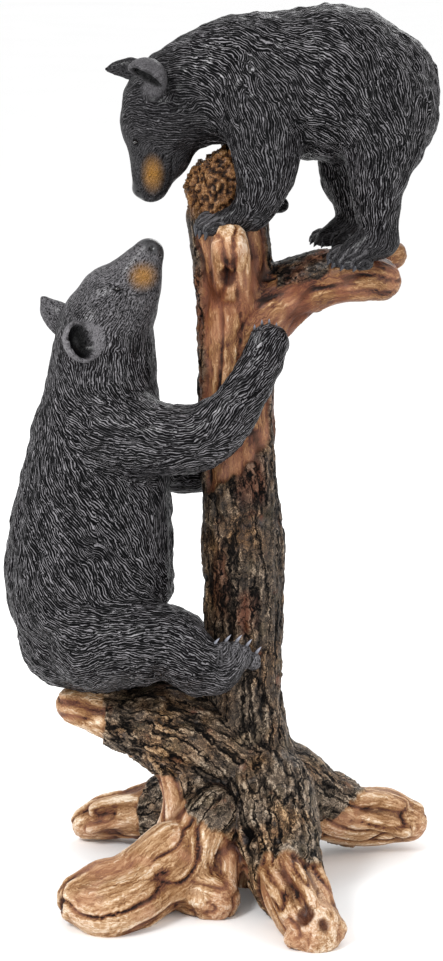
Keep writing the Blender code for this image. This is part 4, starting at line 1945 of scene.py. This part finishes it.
@dataclass
class Studio:
    """Pale floor, soft lights and the camera at the photograph's angle.

    Attributes:
        camera_place: where the camera stands, in metres before the statue's shift.
        pitch: how far it looks down, in degrees.
        focal_pixels: its focal length, in pixels of the photograph.
        sensor: height of its sensor, in millimetres.
    """

    camera_place: Point = (0.0, -2.2, 0.85)
    pitch: float = 12.9488
    focal_pixels: float = 2679.97
    sensor: float = 36.0

    def camera(self) -> None:
        """Set up the camera."""
        data = bpy.data.cameras.new("camera")
        data.sensor_width = self.sensor
        data.lens = self.focal_pixels * self.sensor / PICTURE_HEIGHT
        data.clip_end = 50
        camera = placed("camera", data)
        camera.location = [place + shift * MM for place, shift in zip(self.camera_place, STATUE_SHIFT)]
        camera.rotation_euler = (math.radians(90 - self.pitch), 0, 0)
        bpy.context.scene.camera = camera

    def floor(self) -> None:
        """Lay the floor."""
        bpy.ops.mesh.primitive_plane_add(size=80, location=(0, 0, 0))
        floor = bpy.context.object
        floor.name = "floor"
        paint = Paint(bpy.data.materials.new("pale floor"))
        speck = paint.noise(paint.place(), 0.4, 2)
        paint.connect("Base Color", paint.mix(speck, (0.95, 0.95, 0.95), (0.98, 0.98, 0.98)))
        paint.connect("Roughness", 0.9)
        floor.data.materials.append(paint.material)

    @staticmethod
    def lamp(name: str, place: Point, target: Point, size: float, power: float) -> None:
        """Hang one soft square lamp.

        Args:
            name: the lamp's name.
            place: where it hangs.
            target: what it points at.
            size: its side in metres.
            power: its power in watts.
        """
        data = bpy.data.lights.new(name, "AREA")
        data.shape = "SQUARE"
        data.size = size
        data.energy = power
        lamp = placed(name, data)
        lamp.location = place
        lamp.rotation_euler = (Vector(place) - Vector(target)).to_track_quat("Z", "Y").to_euler()

    def build(self) -> None:
        """Floor, lamps, surroundings and camera."""
        self.floor()
        self.camera()
        middle = (0.0, 0.0, 0.4)
        self.lamp("key lamp", (-1.2, -1.5, 1.9), middle, 0.6, 36)
        self.lamp("fill lamp", (1.8, -1.5, 1.1), middle, 0.9, 10)
        self.lamp("back lamp", (0.7, 1.9, 1.7), middle, 1.4, 22)
        world = bpy.data.worlds.new("studio")
        world.use_nodes = True
        background = world.node_tree.nodes["Background"]
        background.inputs["Color"].default_value = (1, 1, 1, 1)
        background.inputs["Strength"].default_value = 1.03
        bpy.context.scene.world = world
        bpy.context.scene.view_settings.view_transform = "Standard"


def main() -> None:
    """Build the statue's looks and the studio."""
    logging.basicConfig(level=logging.INFO, format="%(message)s")
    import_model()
    stump().build(StumpFinish().build("painted wood and bark"))
    eye = EyeFinish().build("glossy eyes")
    black_horn = HornFinish((0.012, 0.012, 0.015), (0.03, 0.032, 0.042)).build("black claws")
    grey_horn = HornFinish().build("grey claws")
    upper_bear().build(FurFinish().build("painted fur of the upper bear"), black_horn, eye)
    lower_bear().build(FurFinish(face_brushing_and_highlight=0.54).build("painted fur of the lower bear"), grey_horn, eye)
    Studio().build()


if __name__ == "__main__":
    main()
